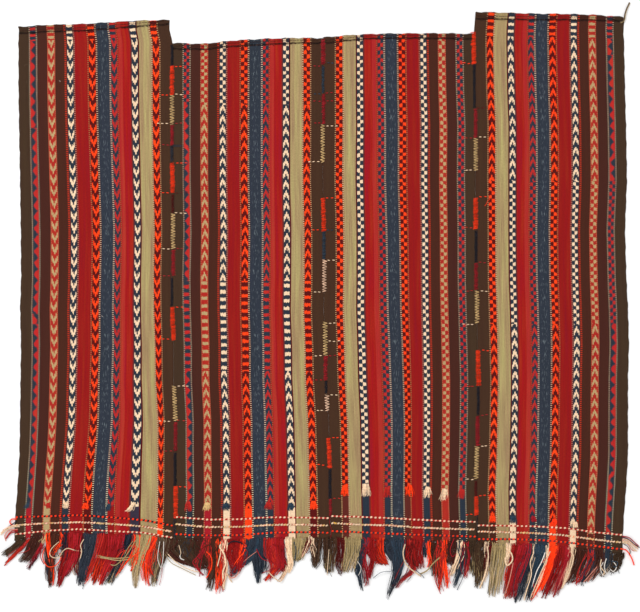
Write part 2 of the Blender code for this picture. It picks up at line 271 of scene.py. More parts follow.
def addNode(tree, kind, inputs=None, **settings):
    # Adds a node, its settings, and its inputs as values or as links from other nodes' sockets.
    node = tree.nodes.new(kind)
    for name, value in settings.items():
        setattr(node, name, value)
    for key, value in (inputs or {}).items():
        if isinstance(value, bpy.types.NodeSocket):
            tree.links.new(value, node.inputs[key])
        else:
            node.inputs[key].default_value = value
    return node


def newMaterial(name, **values):
    finish = bpy.data.materials.new(name)
    finish.use_nodes = True
    shader = finish.node_tree.nodes["Principled BSDF"]
    for key, value in values.items():
        shader.inputs[key].default_value = value
    return finish, finish.node_tree, shader


def newMesh(name, points, quads, tris=None):
    # One mesh from whole arrays: points (n, 3) in metres, quads (m, 4) and triangles (k, 3).
    quads = np.asarray(quads, np.int32).reshape(-1, 4)
    tris = np.zeros((0, 3), np.int32) if tris is None else np.asarray(tris, np.int32)
    mesh = bpy.data.meshes.new(name)
    mesh.vertices.add(len(points))
    mesh.vertices.foreach_set("co", np.asarray(points, np.float32).ravel())
    corners = np.concatenate([quads.ravel(), tris.ravel()])
    mesh.loops.add(len(corners))
    mesh.loops.foreach_set("vertex_index", corners)
    starts = np.concatenate([np.arange(len(quads)) * 4, quads.size + np.arange(len(tris)) * 3])
    mesh.polygons.add(len(starts))
    mesh.polygons.foreach_set("loop_start", starts.astype(np.int32))
    mesh.update(calc_edges=True)
    mesh.validate()
    return mesh, corners


def newPiece(mesh, finish, nodes=()):
    # Links a mesh as a finished piece: it rides on the rug's one body and stands for its nodes.
    mesh.materials.append(finish)
    piece = bpy.data.objects.new(mesh.name, mesh)
    bpy.context.scene.collection.objects.link(piece)
    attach(piece, "root")
    if nodes:
        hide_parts(*nodes)
    return piece


def addUv(mesh, name, values):
    layer = mesh.uv_layers.new(name=name)
    layer.data.foreach_set("uv", np.asarray(values, np.float32).ravel())


def addAttribute(mesh, name, kind, domain, values):
    field = {"FLOAT_COLOR": "color", "FLOAT_VECTOR": "vector", "FLOAT": "value"}[kind]
    mesh.attributes.new(name, kind, domain).data.foreach_set(field, np.asarray(values, np.float32).ravel())


# Studio: a white floor, a large soft light from the upper left and an even sky.
studio = {
    "lens": 100.0,            # mm
    "sensor": 36.0,
    "viewWidth": 640,         # pixels of the view
    "viewMiddle": (320.0, 306.0),
    "floorHalf": 12.0,        # metres from the middle of the floor to its sides
    "floorLevel": -0.0004,
    "skyStrength": 0.9,
    "keyWatts": 140.0,
    "keySize": 2.6,
    "keyPlace": (-3.2, 2.6, 4.6),
}


def buildStudio():
    scene = bpy.context.scene
    scene.view_settings.view_transform = "Standard"
    middle = place(*photoPlace(*studio["viewMiddle"]), 0.0)
    width = studio["viewWidth"] * rug["mmPerPixel"] / 1000
    lens = bpy.data.cameras.new("camera")
    lens.lens = studio["lens"]
    lens.sensor_width = studio["sensor"]
    lens.clip_end = 50
    camera = bpy.data.objects.new("camera", lens)
    camera.location = (middle[0], middle[1], studio["lens"] / studio["sensor"] * width)
    scene.collection.objects.link(camera)
    scene.camera = camera

    floorFinish, tree, shader = newMaterial("matt white floor", Roughness=0.9)
    shader.inputs["Base Color"].default_value = (0.96, 0.96, 0.96, 1)
    half, level = studio["floorHalf"], studio["floorLevel"]
    floorMesh = bpy.data.meshes.new("floor")
    floorMesh.from_pydata([(-half, -half, level), (half, -half, level),
                           (half, half, level), (-half, half, level)], [], [(0, 1, 2, 3)])
    floorMesh.materials.append(floorFinish)
    floor = bpy.data.objects.new("floor", floorMesh)
    scene.collection.objects.link(floor)

    sky = bpy.data.worlds.new("even sky")
    sky.use_nodes = True
    sky.node_tree.nodes["Background"].inputs["Color"].default_value = (1, 1, 1, 1)
    sky.node_tree.nodes["Background"].inputs["Strength"].default_value = studio["skyStrength"]
    scene.world = sky

    key = bpy.data.lights.new("key", "AREA")
    key.energy = studio["keyWatts"]
    key.size = studio["keySize"]
    lamp = bpy.data.objects.new("key", key)
    lamp.location = studio["keyPlace"]
    direction = -np.array(studio["keyPlace"])
    lamp.rotation_euler = (math.atan2(math.hypot(direction[0], direction[1]), -direction[2]), 0,
                           math.atan2(-direction[0], direction[1]))
    scene.collection.objects.link(lamp)
    print("studio done")


# The stripes of one strip from its outer to its inner edge. Strips 3 and 4 run the other way.
# width is in mm, ground and figure are dyes, streak is how uneven the dye is along a warp, fleck
# how many pale slubs show, tint how far the colour wanders, and rim how near to the stripe's
# borders (1) its figures reach.
stripeNames = ("name", "width", "kind", "ground", "figure", "streak", "fleck", "tint", "rim")
stripes = (
    ("outer olive", 26.0, "plain", "olive brown", "olive brown", 0.12, 0.0, 0.3, 2.0),
    ("dots 1", 3.8, "dots", "plum brown", "cream", 0.1, 0.0, 0.0, 0.8),
    ("red and navy", 14.0, "figure", "motif navy", "motif red", 0.12, 0.0, 0.2, 2.0),
    ("dots 2", 4.4, "dots", "plum brown", "cream", 0.1, 0.0, 0.0, 0.76),
    ("maroon brown", 24.7, "plain", "maroon brown", "maroon brown", 0.08, 0.0, 0.2, 2.0),
    ("left rim", 2.3, "dots", "deep red", "beige", 0.1, 0.0, 0.0, 0.9),
    ("red and beige", 15.7, "figure", "deep red", "beige", 0.12, 0.0, 0.2, 0.96),
    ("right rim", 2.3, "dots", "deep red", "beige", 0.1, 0.0, 0.0, 0.9),
    ("dark brown", 23.4, "plain", "dark brown", "dark brown", 0.08, 0.0, 0.2, 2.0),
    ("dots 3", 4.9, "dots", "brick", "orange red", 0.1, 0.0, 0.0, 0.9),
    ("dark edge", 1.6, "plain", "brick", "brick", 0.1, 0.0, 0.2, 2.0),
    ("cream and navy", 16.4, "figure", "motif navy", "cream", 0.12, 0.0, 0.1, 0.88),
    ("dots 4", 3.9, "dots", "brick", "pink", 0.1, 0.0, 0.0, 0.94),
    ("wide red", 31.2, "plain", "red", "red", 0.16, 0.0, 0.3, 2.0),
    ("dots 5", 3.9, "dots", "red", "tan", 0.1, 0.0, 0.0, 0.78),
    ("orange and maroon", 17.7, "figure", "maroon", "orange", 0.1, 0.0, 0.1, 0.92),
    ("dots 6", 4.2, "dots", "garnet", "cream", 0.1, 0.0, 0.0, 1.0),
    ("navy", 29.9, "plain", "navy", "navy", 0.16, 1.0, 0.5, 2.0),
    ("dots 7", 5.5, "dots", "ash", "cream", 0.1, 0.0, 0.0, 0.84),
    ("red and navy inner", 14.8, "figure", "motif navy", "motif red", 0.12, 0.0, 0.2, 0.96),
    ("dots 8", 3.9, "dots", "red", "tan", 0.1, 0.0, 0.0, 0.46),
    ("pinkish red", 10.4, "plain", "pinkish red", "pinkish red", 0.14, 0.0, 0.4, 2.0),
    ("inner red", 19.5, "plain", "warm red", "warm red", 0.18, 0.0, 0.5, 2.0),
    ("purple line", 3.4, "plain", "wine", "wine", 0.1, 0.0, 0.2, 2.0),
    ("cream and navy inner", 16.6, "figure", "motif navy", "cream", 0.12, 0.0, 0.1, 0.88),
    ("maroon line", 2.9, "plain", "maroon", "maroon", 0.1, 0.0, 0.2, 2.0),
    ("khaki", 30.7, "plain", "khaki", "khaki", 0.34, 0.0, 2.2, 2.0),
    ("dots 9", 3.6, "dots", "copper", "cream", 0.1, 0.0, 0.0, 0.94),
    ("orange and maroon inner", 17.2, "figure", "maroon", "orange", 0.1, 0.0, 0.1, 0.92),
    ("dots 10", 3.1, "dots", "brick", "straw", 0.1, 0.0, 0.0, 1.0),
    ("inner brown", 30.4, "plain", "brown", "brown", 0.12, 0.0, 0.3, 2.0),
)

# What the figured stripes of each strip show, from a pixel row down: vees point down, peaks up.
motifRuns = {
    1: ((0, "narrow bars"), (39, "vees")),
    2: ((0, "checks"), (105, "peaks"), (281, "bars"), (371, "peaks")),
    3: ((0, "checks"),),
    4: ((0, "narrow bars"), (37, "peaks"), (181, "checks"), (324, "peaks")),
}
motifs = {   # repeat in mm, drop of an arm in repeats, offset of the right half in repeats
    "bars": (19.7, 0.0, 0.0),
    "narrow bars": (16.6, 0.0, 0.0),
    "checks": (19.5, 0.0, 0.5),
    "vees": (30.0, 0.52, 0.0),
    "peaks": (27.5, -0.52, 0.0),
}
# The first figured stripe has triangles instead of arms: pixel row, and 1 with the figure's dye on
# the right or -1 with it on the left.
triangleRuns = {
    1: ((38, -1), (128, 1), (314, -1), (324, 1)),
    2: ((105, -1), (148, 1), (371, -1)),
    4: ((38, -1), (55, 1), (158, -1), (324, 1), (475, -1)),
}
# Pixel rows where the figured stripes end, and their plain dyes below, from the outer edge inwards.
figureEnds = {
    1: (507, 507, 507, 507, 507, 507, 517),
    2: (508, 508, 508, 508, 508, 508, 508),
    3: (494, 494, 494, 494, 494, 494, 494),
    4: (528, 531, 528, 524, 521, 522, 522),
}
plainBelow = {
    1: ("crimson", "beige", "motif navy", "maroon", "red", "dusk", "orange"),
    2: ("motif navy", "crimson", "cream", "orange", "motif navy", "cream", "maroon"),
    3: ("motif navy", "deep red", "motif navy", "brick", "motif navy", "motif navy", "brick"),
    4: ("motif navy", "brick", "cream", "orange", "navy", "cream", "dark brown"),
}

cloth = {
    "faceLength": 8.0,        # mm along a strip from one row of faces to the next
    "faceWidth": 7.5,
    "dotRepeat": 5.5,         # mm: one dot for each pair of wefts
    "dotShare": 0.22,         # share of a repeat that the figure's dye takes
    "figureShare": 0.43,
    "warpPitch": 1.3,         # mm, about a third wider than the real warps so that they show
    "weftPitch": 2.75,
    "selvedgeCuts": (1.4, 3.4),   # mm from the edge of the narrow columns at the selvedge
    "underside": 0.05,        # mm height of the cloth's back
    "triangleStripe": 2,      # number of the stripe that shows triangles, from 0
    "sheen": 0.06,
    "slubDye": (0.32, 0.38, 0.4, 1),
    "bumpDepth": 0.0003,      # metres
}


def ofStripes(name):
    # One named column of the stripes' table.
    return np.array([row[stripeNames.index(name)] for row in stripes])


def stripeColumns(strip):
    # Shares of the width of the strip's columns of faces, with the stripe and the place across it
    # (-1 to 1) that each column starts and ends at.
    widths = ofStripes("width")
    borders = np.concatenate([[0], np.cumsum(widths)]) / widths.sum()
    shares, owners, starts, ends = [0.0], [], [], []
    for number, (width, kind) in enumerate(zip(widths, ofStripes("kind"))):
        parts = 1 if kind == "dots" else max(2, 2 * round(width / cloth["faceWidth"] / 2))
        for part in range(parts):
            shares.append(borders[number] + (borders[number + 1] - borders[number]) * (part + 1) / parts)
            owners.append(number)
            starts.append(-1 + 2 * part / parts)
            ends.append(-1 + 2 * (part + 1) / parts)
    shares, owners, starts, ends = map(np.array, (shares, owners, starts, ends))
    if strip > 2:
        shares, owners = 1 - shares[::-1], owners[::-1]
        starts, ends = -ends[::-1], -starts[::-1]
    # two extra narrow columns at each side give the selvedge its round edge
    for cut in np.array(cloth["selvedgeCuts"]) / widths.sum():
        where = np.searchsorted(shares, cut)
        shares = np.insert(shares, where, cut)
        owners = np.insert(owners, where, owners[where - 1])
        starts, ends = np.insert(starts, where, 0.0), np.insert(ends, where, 0.0)
        where = np.searchsorted(shares, 1 - cut)
        shares = np.insert(shares, where, 1 - cut)
        owners = np.insert(owners, where - 1, owners[where - 1])
        starts, ends = np.insert(starts, where - 1, 0.0), np.insert(ends, where - 1, 0.0)
    return shares, owners, starts, ends


def stripRows(strip):
    # Distances down of the rows of faces: close together at the hem, then even, with one row on
    # each change of the pattern.
    top, bottom = levels[strip][:, 1].mean(), levels[strip][:, 5].mean() - rug["rootBand"]
    hem = top + np.concatenate([(0, 0.8, 2, 4, 6.5, 8.5), np.arange(10, 21.5, 1.1), (23.5,)])
    even = np.arange(hem[-1] + cloth["faceLength"], bottom - 3, cloth["faceLength"])
    changes = [toDown(py) for py, _ in motifRuns[strip][1:] + triangleRuns.get(strip, ())]
    changes += [toDown(py) for py in figureEnds[strip]]
    changes = np.unique(np.round(changes, 2))
    even = even[np.min(np.abs(even[:, None] - changes), axis=1) > 2.5]
    return np.unique(np.concatenate([hem, even, changes, [bottom]]))


def clothPoints(strip, share, base):
    # Upper and lower points of the cloth for its columns' shares of the width and its rows. The end
    # rows follow the hem's fold and the last weft, and the free edges waver a little.
    top, bottom = base[0, 0], base[-1, 0]
    # down = row + how far this column's own end lies from the mean end, fading out into the cloth
    down = base + (levelDown(strip, "top", share) - top) * (1 - smoothStep(base, top + 15, top + 90))
    lastWeft = levelDown(strip, "root", share) - rug["rootBand"]
    down = down + (lastWeft - bottom) * smoothStep(base, bottom - 200, bottom)
    across = pulledAcross(strip, share, down)
    x = clothX(strip, across, down)
    waver = 0.6 * np.sin(down / 8.3 + strip) + 0.4 * np.sin(down / 3.9 + 2 * strip)
    waver = waver * (1 + 1.2 * (1 - smoothStep(base, top, top + 60)))
    if strip == 1:
        x = x + waver * (1 - smoothStep(share, 0.0, 0.03))
    if strip == 4:
        x = x + waver * smoothStep(share, 0.97, 1.0)
    height = clothHeight(strip, x, down)
    ripple = 0.9 * np.sin(x / 8.7 + strip) + 0.6 * np.sin(x / 3.7 + 2 * strip)
    down = down + ripple * (1 - smoothStep(base, top + 3, top + 11))
    upper = place(x, down, height).reshape(-1, 3)
    lower = place(x, down, np.full_like(x, cloth["underside"])).reshape(-1, 3)
    return upper, lower


def closedSheet(rowCount, columnCount):
    # Faces of a thin closed sheet: the grid's cells above, the same cells below and four walls.
    # With them come each face's row and column in the grid and the number of cells.
    count = rowCount * columnCount
    index = np.arange(count).reshape(rowCount, columnCount)
    cells = np.stack([index[:-1, :-1], index[1:, :-1], index[1:, 1:], index[:-1, 1:]], axis=-1)
    cellRow, cellColumn = np.meshgrid(np.arange(rowCount - 1), np.arange(columnCount - 1), indexing="ij")
    cells, cellRow, cellColumn = cells.reshape(-1, 4), cellRow.ravel(), cellColumn.ravel()

    def wall(line, rowOf, columnOf):
        # A wall down from a line of upper points to the lower ones.
        quads = np.stack([line[:-1], line[:-1] + count, line[1:] + count, line[1:]], axis=-1)
        return quads, rowOf, columnOf

    r, c = np.arange(rowCount - 1), np.arange(columnCount - 1)
    walls = [wall(index[:, 0], r, 0 * r), wall(index[::-1, -1], r[::-1], 0 * r + columnCount - 2),
             wall(index[0, ::-1], 0 * c, c[::-1]), wall(index[-1, :], 0 * c + rowCount - 2, c)]
    quads = np.concatenate([cells, cells[:, ::-1] + count] + [w[0] for w in walls])
    quadRow = np.concatenate([cellRow, cellRow] + [w[1] for w in walls])
    quadColumn = np.concatenate([cellColumn, cellColumn] + [w[2] for w in walls])
    return quads, quadRow, quadColumn, len(cells)


def addMotifMap(mesh, strip, at):
    # Place across the stripe from -1 to 1, and repeats of the stripe's motif along it. Each figured
    # stripe starts its motif a little further on than the one before.
    figured = at["kind"] == "figure"
    repeat = np.full(len(figured), cloth["dotRepeat"])
    arm, offset = np.zeros(len(figured)), np.zeros(len(figured))
    for py, motifName in motifRuns[strip]:
        inRun = figured & (at["middleDown"] > toDown(py))
        repeat[inRun], arm[inRun], offset[inRun] = motifs[motifName]
    zigzag = (at["owner"] == cloth["triangleStripe"]) & (strip in triangleRuns) & (arm != 0)
    arm[zigzag] = 0
    side = np.ones(len(figured))
    for py, way in triangleRuns.get(strip, ()):
        side[zigzag & (at["middleDown"] > toDown(py))] = way
    phase = at["base"] / repeat + 0.37 * at["owner"] * figured
    addUv(mesh, "motif", np.stack([at["local"] * side, phase], axis=-1))
    shape = np.stack([arm, offset, zigzag * 1.0], axis=-1)
    addAttribute(mesh, "motifShape", "FLOAT_VECTOR", "CORNER", shape)


def hemPaintedShadeAndMottle(strip, share, below):
    # Painted shade in the stitched groove under the hem and along its fold, and a darker, mottled band
    # between the fold and the groove: 1 leaves the dye unchanged.
    # Each dip is depth * e ^ -(distance / width) ^ 2, and sines keep it uneven along the hem.
    fromHem = below - hemDepth(strip, share) + 0.9 * np.sin(share * 37 + strip) + 0.6 * np.sin(share * 97)
    deep = 0.7 + 0.16 * np.sin(share * 71 + strip)
    # painted shade: deep in the groove under the hem, and 0.3 at the fold's edge
    shade = 1 - deep * np.exp(-(fromHem / 2.3) ** 2) - 0.3 * np.exp(-(below / 1.2) ** 2)
    mottled = np.sin(share * 331 + 2 * strip) * np.sin(below * 1.1 + share * 97)
    # the band between the fold and the groove is darker and mottled
    return shade - (0.1 + 0.12 * mottled) * (fromHem < 0)


def addClothDyesAndShade(mesh, strip, at, top):
    # The dyes of each stripe's ground and figure, and how its wool is worn, with painted shade and a darker
    # band at the hem multiplied into both dyes.
    owner = at["owner"]
    ground = np.array([dyes[name] for name in ofStripes("ground")])[owner]
    figure = np.array([dyes[name] for name in ofStripes("figure")])[owner]
    figured = np.flatnonzero(ofStripes("kind") == "figure")
    for number, py, dye in zip(figured, figureEnds[strip], plainBelow[strip]):
        ended = (at["middleDown"] > toDown(py)) & (owner == number)
        ground[ended] = figure[ended] = dyes[dye]
    # the dots are cleaner near the fringe
    clean = 1 + 0.35 * (at["kind"] == "dots") * smoothStep(at["middleDown"], 1130, 1230)
    figure = np.minimum(figure * clean[:, None], 0.9)
    # on the back the two dyes change places
    back = at["back"]
    ground[back], figure[back] = figure[back].copy(), ground[back].copy()
    # painted shade of the hem's groove and fold, and its darker band, multiplied into the ground and figure
    # colours
    shade = hemPaintedShadeAndMottle(strip, at["share"], at["base"] - top)[:, None]
    ground, figure = ground * shade, figure * shade
    part = np.where(at["kind"] == "dots", cloth["dotShare"], cloth["figureShare"])[:, None]
    rim = ofStripes("rim")[owner][:, None]
    addAttribute(mesh, "ground", "FLOAT_COLOR", "CORNER", np.concatenate([ground, part], axis=1))
    addAttribute(mesh, "figure", "FLOAT_COLOR", "CORNER", np.concatenate([figure, rim], axis=1))
    wear = np.stack([ofStripes(name) for name in ("streak", "fleck", "tint")], axis=-1)[owner]
    addAttribute(mesh, "wear", "FLOAT_VECTOR", "CORNER", wear)


def buildCloth(strip, finish):
    shares, owners, starts, ends = stripeColumns(strip)
    rows = stripRows(strip)
    share, base = np.meshgrid(shares, rows)
    top, bottom = rows[0], rows[-1]
    upper, lower = clothPoints(strip, share, base)
    quads, quadRow, quadColumn, cellCount = closedSheet(*share.shape)
    mesh, corners = newMesh(f"cloth_{strip}", np.concatenate([upper, lower]), quads)

    # for each corner of each face: its place on the loom, its stripe and its place across that
    onTop = corners % len(upper)
    column, row = np.repeat(quadColumn, 4), np.repeat(quadRow, 4)
    at = {"share": share.ravel()[onTop], "base": base.ravel()[onTop], "owner": owners[column]}
    at["kind"] = ofStripes("kind")[at["owner"]]
    at["middleDown"] = (rows[:-1] + rows[1:])[row] / 2
    within = (at["share"] - shares[:-1][column]) / (shares[1:] - shares[:-1])[column]
    at["local"] = starts[column] + within * (ends - starts)[column]
    at["back"] = np.repeat(np.arange(len(quads)) // cellCount == 1, 4)

    # weave map: mm across the loom and mm along it, for the yarn scale patterns
    loomWidth = sum(row[1] for row in stripes)
    addUv(mesh, "weave", np.stack([at["share"] * loomWidth, at["base"]], axis=-1))
    addMotifMap(mesh, strip, at)
    addClothDyesAndShade(mesh, strip, at, top)

    mesh.shade_smooth()
    mesh.set_sharp_from_angle(angle=math.radians(50))
    piece = newPiece(mesh, finish, [f"strip_{strip}"])
    return piece


def clothMaterial():
    # Warp-faced wool flatweave: matt, with a soft sheen, fine ribs along the warps and the dye
    # a little uneven from one warp to the next. Motifs are counted in warps, so their slants
    # go in steps.
    finish, tree, shader = newMaterial("warp-faced wool", Roughness=0.92)
    shader.inputs["Sheen Weight"].default_value = cloth["sheen"]
    shader.inputs["Sheen Roughness"].default_value = 0.5
    shader.inputs["Specular IOR Level"].default_value = 0.15

    def calc(operation, a, b=0.0, c=0.0):
        return addNode(tree, "ShaderNodeMath", {0: a, 1: b, 2: c}, operation=operation).outputs[0]

    def ramp(value, low, high, toLow=0.0, toHigh=1.0):
        inputs = {"Value": value, "From Min": low, "From Max": high, "To Min": toLow, "To Max": toHigh}
        return addNode(tree, "ShaderNodeMapRange", inputs).outputs["Result"]

    def split(socket):
        return addNode(tree, "ShaderNodeSeparateXYZ", {"Vector": socket}).outputs

    def noise(x, y, detail=2.0, seed=0.0):
        spot = addNode(tree, "ShaderNodeCombineXYZ", {"X": x, "Y": y, "Z": seed}).outputs[0]
        return addNode(tree, "ShaderNodeTexNoise", {"Vector": spot, "Scale": 1.0, "Detail": detail},
                       noise_dimensions="3D").outputs[0]

    def attribute(name):
        return addNode(tree, "ShaderNodeAttribute", attribute_name=name).outputs

    def mixed(factor, first, second):
        inputs = {"Factor": factor, 6: first, 7: second}
        return addNode(tree, "ShaderNodeMix", inputs, data_type="RGBA").outputs[2]

    across, along, _ = split(addNode(tree, "ShaderNodeUVMap", uv_map="weave").outputs[0])
    local, phase, _ = split(addNode(tree, "ShaderNodeUVMap", uv_map="motif").outputs[0])
    arm, offset, zigzag = split(attribute("motifShape")["Vector"])
    streak, fleck, tint = split(attribute("wear")["Vector"])

    # bands: repeats along the stripe, moved by the arm's stepped drop and the right half's offset
    stepped = calc("DIVIDE", calc("ROUND", calc("MULTIPLY", calc("ABSOLUTE", local), 2.5)), 2.5)
    # counts are a warp or a weft out here and there
    slip = noise(calc("MULTIPLY", across, 0.35), calc("MULTIPLY", along, 0.07), detail=1.0, seed=19.0)
    phase = calc("MULTIPLY_ADD", calc("SUBTRACT", slip, 0.5), 0.42, phase)
    moved = calc("MULTIPLY_ADD", arm, stepped, phase)
    moved = calc("MULTIPLY_ADD", calc("GREATER_THAN", local, 0.0), offset, moved)
    swing = calc("ABSOLUTE", calc("SUBTRACT", calc("FRACT", moved), 0.5))
    short = calc("MULTIPLY_ADD", attribute("ground")["Alpha"], -0.5, 0.5)
    bands = calc("DIVIDE", calc("SUBTRACT", swing, short), 0.05)
    bands = addNode(tree, "ShaderNodeClamp", {"Value": calc("ADD", bands, 0.5)}).outputs[0]
    bands = calc("MULTIPLY", bands, calc("LESS_THAN", calc("ABSOLUTE", local), attribute("figure")["Alpha"]))
    # triangles: the border between the two dyes runs in a zigzag across the stripe
    border = calc("MULTIPLY_ADD", swing, 3.4, -0.85)
    triangles = ramp(calc("SUBTRACT", local, border), -0.1, 0.1)
    pattern = addNode(tree, "ShaderNodeMix", {"Factor": zigzag, 2: bands, 3: triangles},
                      data_type="FLOAT").outputs[0]
    dye = mixed(pattern, attribute("ground")["Color"], attribute("figure")["Color"])

    # uneven dye: thin streaks along the warps, wide ones, and grain from weft to weft
    thin = noise(calc("MULTIPLY", across, 0.45), calc("MULTIPLY", along, 0.012))
    wide = noise(calc("MULTIPLY", across, 0.11), calc("MULTIPLY", along, 0.004), seed=7.0)
    grain = noise(calc("MULTIPLY", across, 0.38), calc("MULTIPLY", along, 0.24), detail=1.0, seed=3.0)
    uneven = calc("MULTIPLY_ADD", calc("SUBTRACT", calc("ADD", thin, wide), 1.0), 2.2, 0.0)
    value = calc("MULTIPLY_ADD", uneven, streak, 1.0)
    value = calc("MULTIPLY", value, ramp(grain, 0.3, 0.7, 0.9, 1.1))
    hue = calc("MULTIPLY_ADD", calc("SUBTRACT", wide, 0.5), calc("MULTIPLY", tint, 0.06), 0.5)
    dye = addNode(tree, "ShaderNodeHueSaturation", {"Hue": hue, "Value": value, "Color": dye}).outputs[0]

    # pale slubs that show in the navy
    slub = noise(calc("MULTIPLY", across, 1.3), calc("MULTIPLY", along, 0.06), detail=1.5, seed=11.0)
    nearMiddle = ramp(calc("ABSOLUTE", local), 0.75, 0.25, 0.15, 1.0)
    slub = calc("MULTIPLY", calc("MULTIPLY", ramp(slub, 0.635, 0.71), fleck), nearMiddle)
    dye = mixed(slub, dye, cloth["slubDye"])
    tree.links.new(dye, shader.inputs["Base Color"])

    # relief: round warp ribs, a dip at each weft, and motif floats that stand a little proud
    rib = calc("ABSOLUTE", calc("SINE", calc("MULTIPLY", across, math.pi / cloth["warpPitch"])))
    dip = calc("ABSOLUTE", calc("SINE", calc("MULTIPLY", along, math.pi / cloth["weftPitch"])))
    ribbed = calc("MULTIPLY_ADD", rib, 0.6, calc("MULTIPLY", dip, 0.4))
    raised = calc("ADD", ribbed, calc("MULTIPLY", pattern, 0.25))
    inputs = {"Height": raised, "Strength": 0.6, "Distance": cloth["bumpDepth"]}
    bump = addNode(tree, "ShaderNodeBump", inputs).outputs[0]
    tree.links.new(bump, shader.inputs["Normal"])
    return finish


# The cut warps below each strip.
fringe = {
    "yarnsPerPixel": 3.2,
    "radius": 1.15,           # mm at the root; a worn tip is a little thinner
    "overlap": (1.0, 13.0),   # mm that a yarn runs back over the cloth
    "stretches": 9,           # points along a yarn
    "pile": 5.0,              # mm height of the thickest locks
    "wildShare": 0.14,        # share of the yarns that stray from their lock
    "wildFactor": 3.4,
    "wave": (0.6, 2.6),       # mm that a yarn wavers by
    "waves": (0.5, 1.6),      # how often
    "looseRadius": 2.1,       # mm of a loose yarn of thickness 1
    "tangled": 70,            # yarns of a strip that lie across the others
    "paleDyes": ("cream", "beige", "khaki", "chalk", "pink"),
}
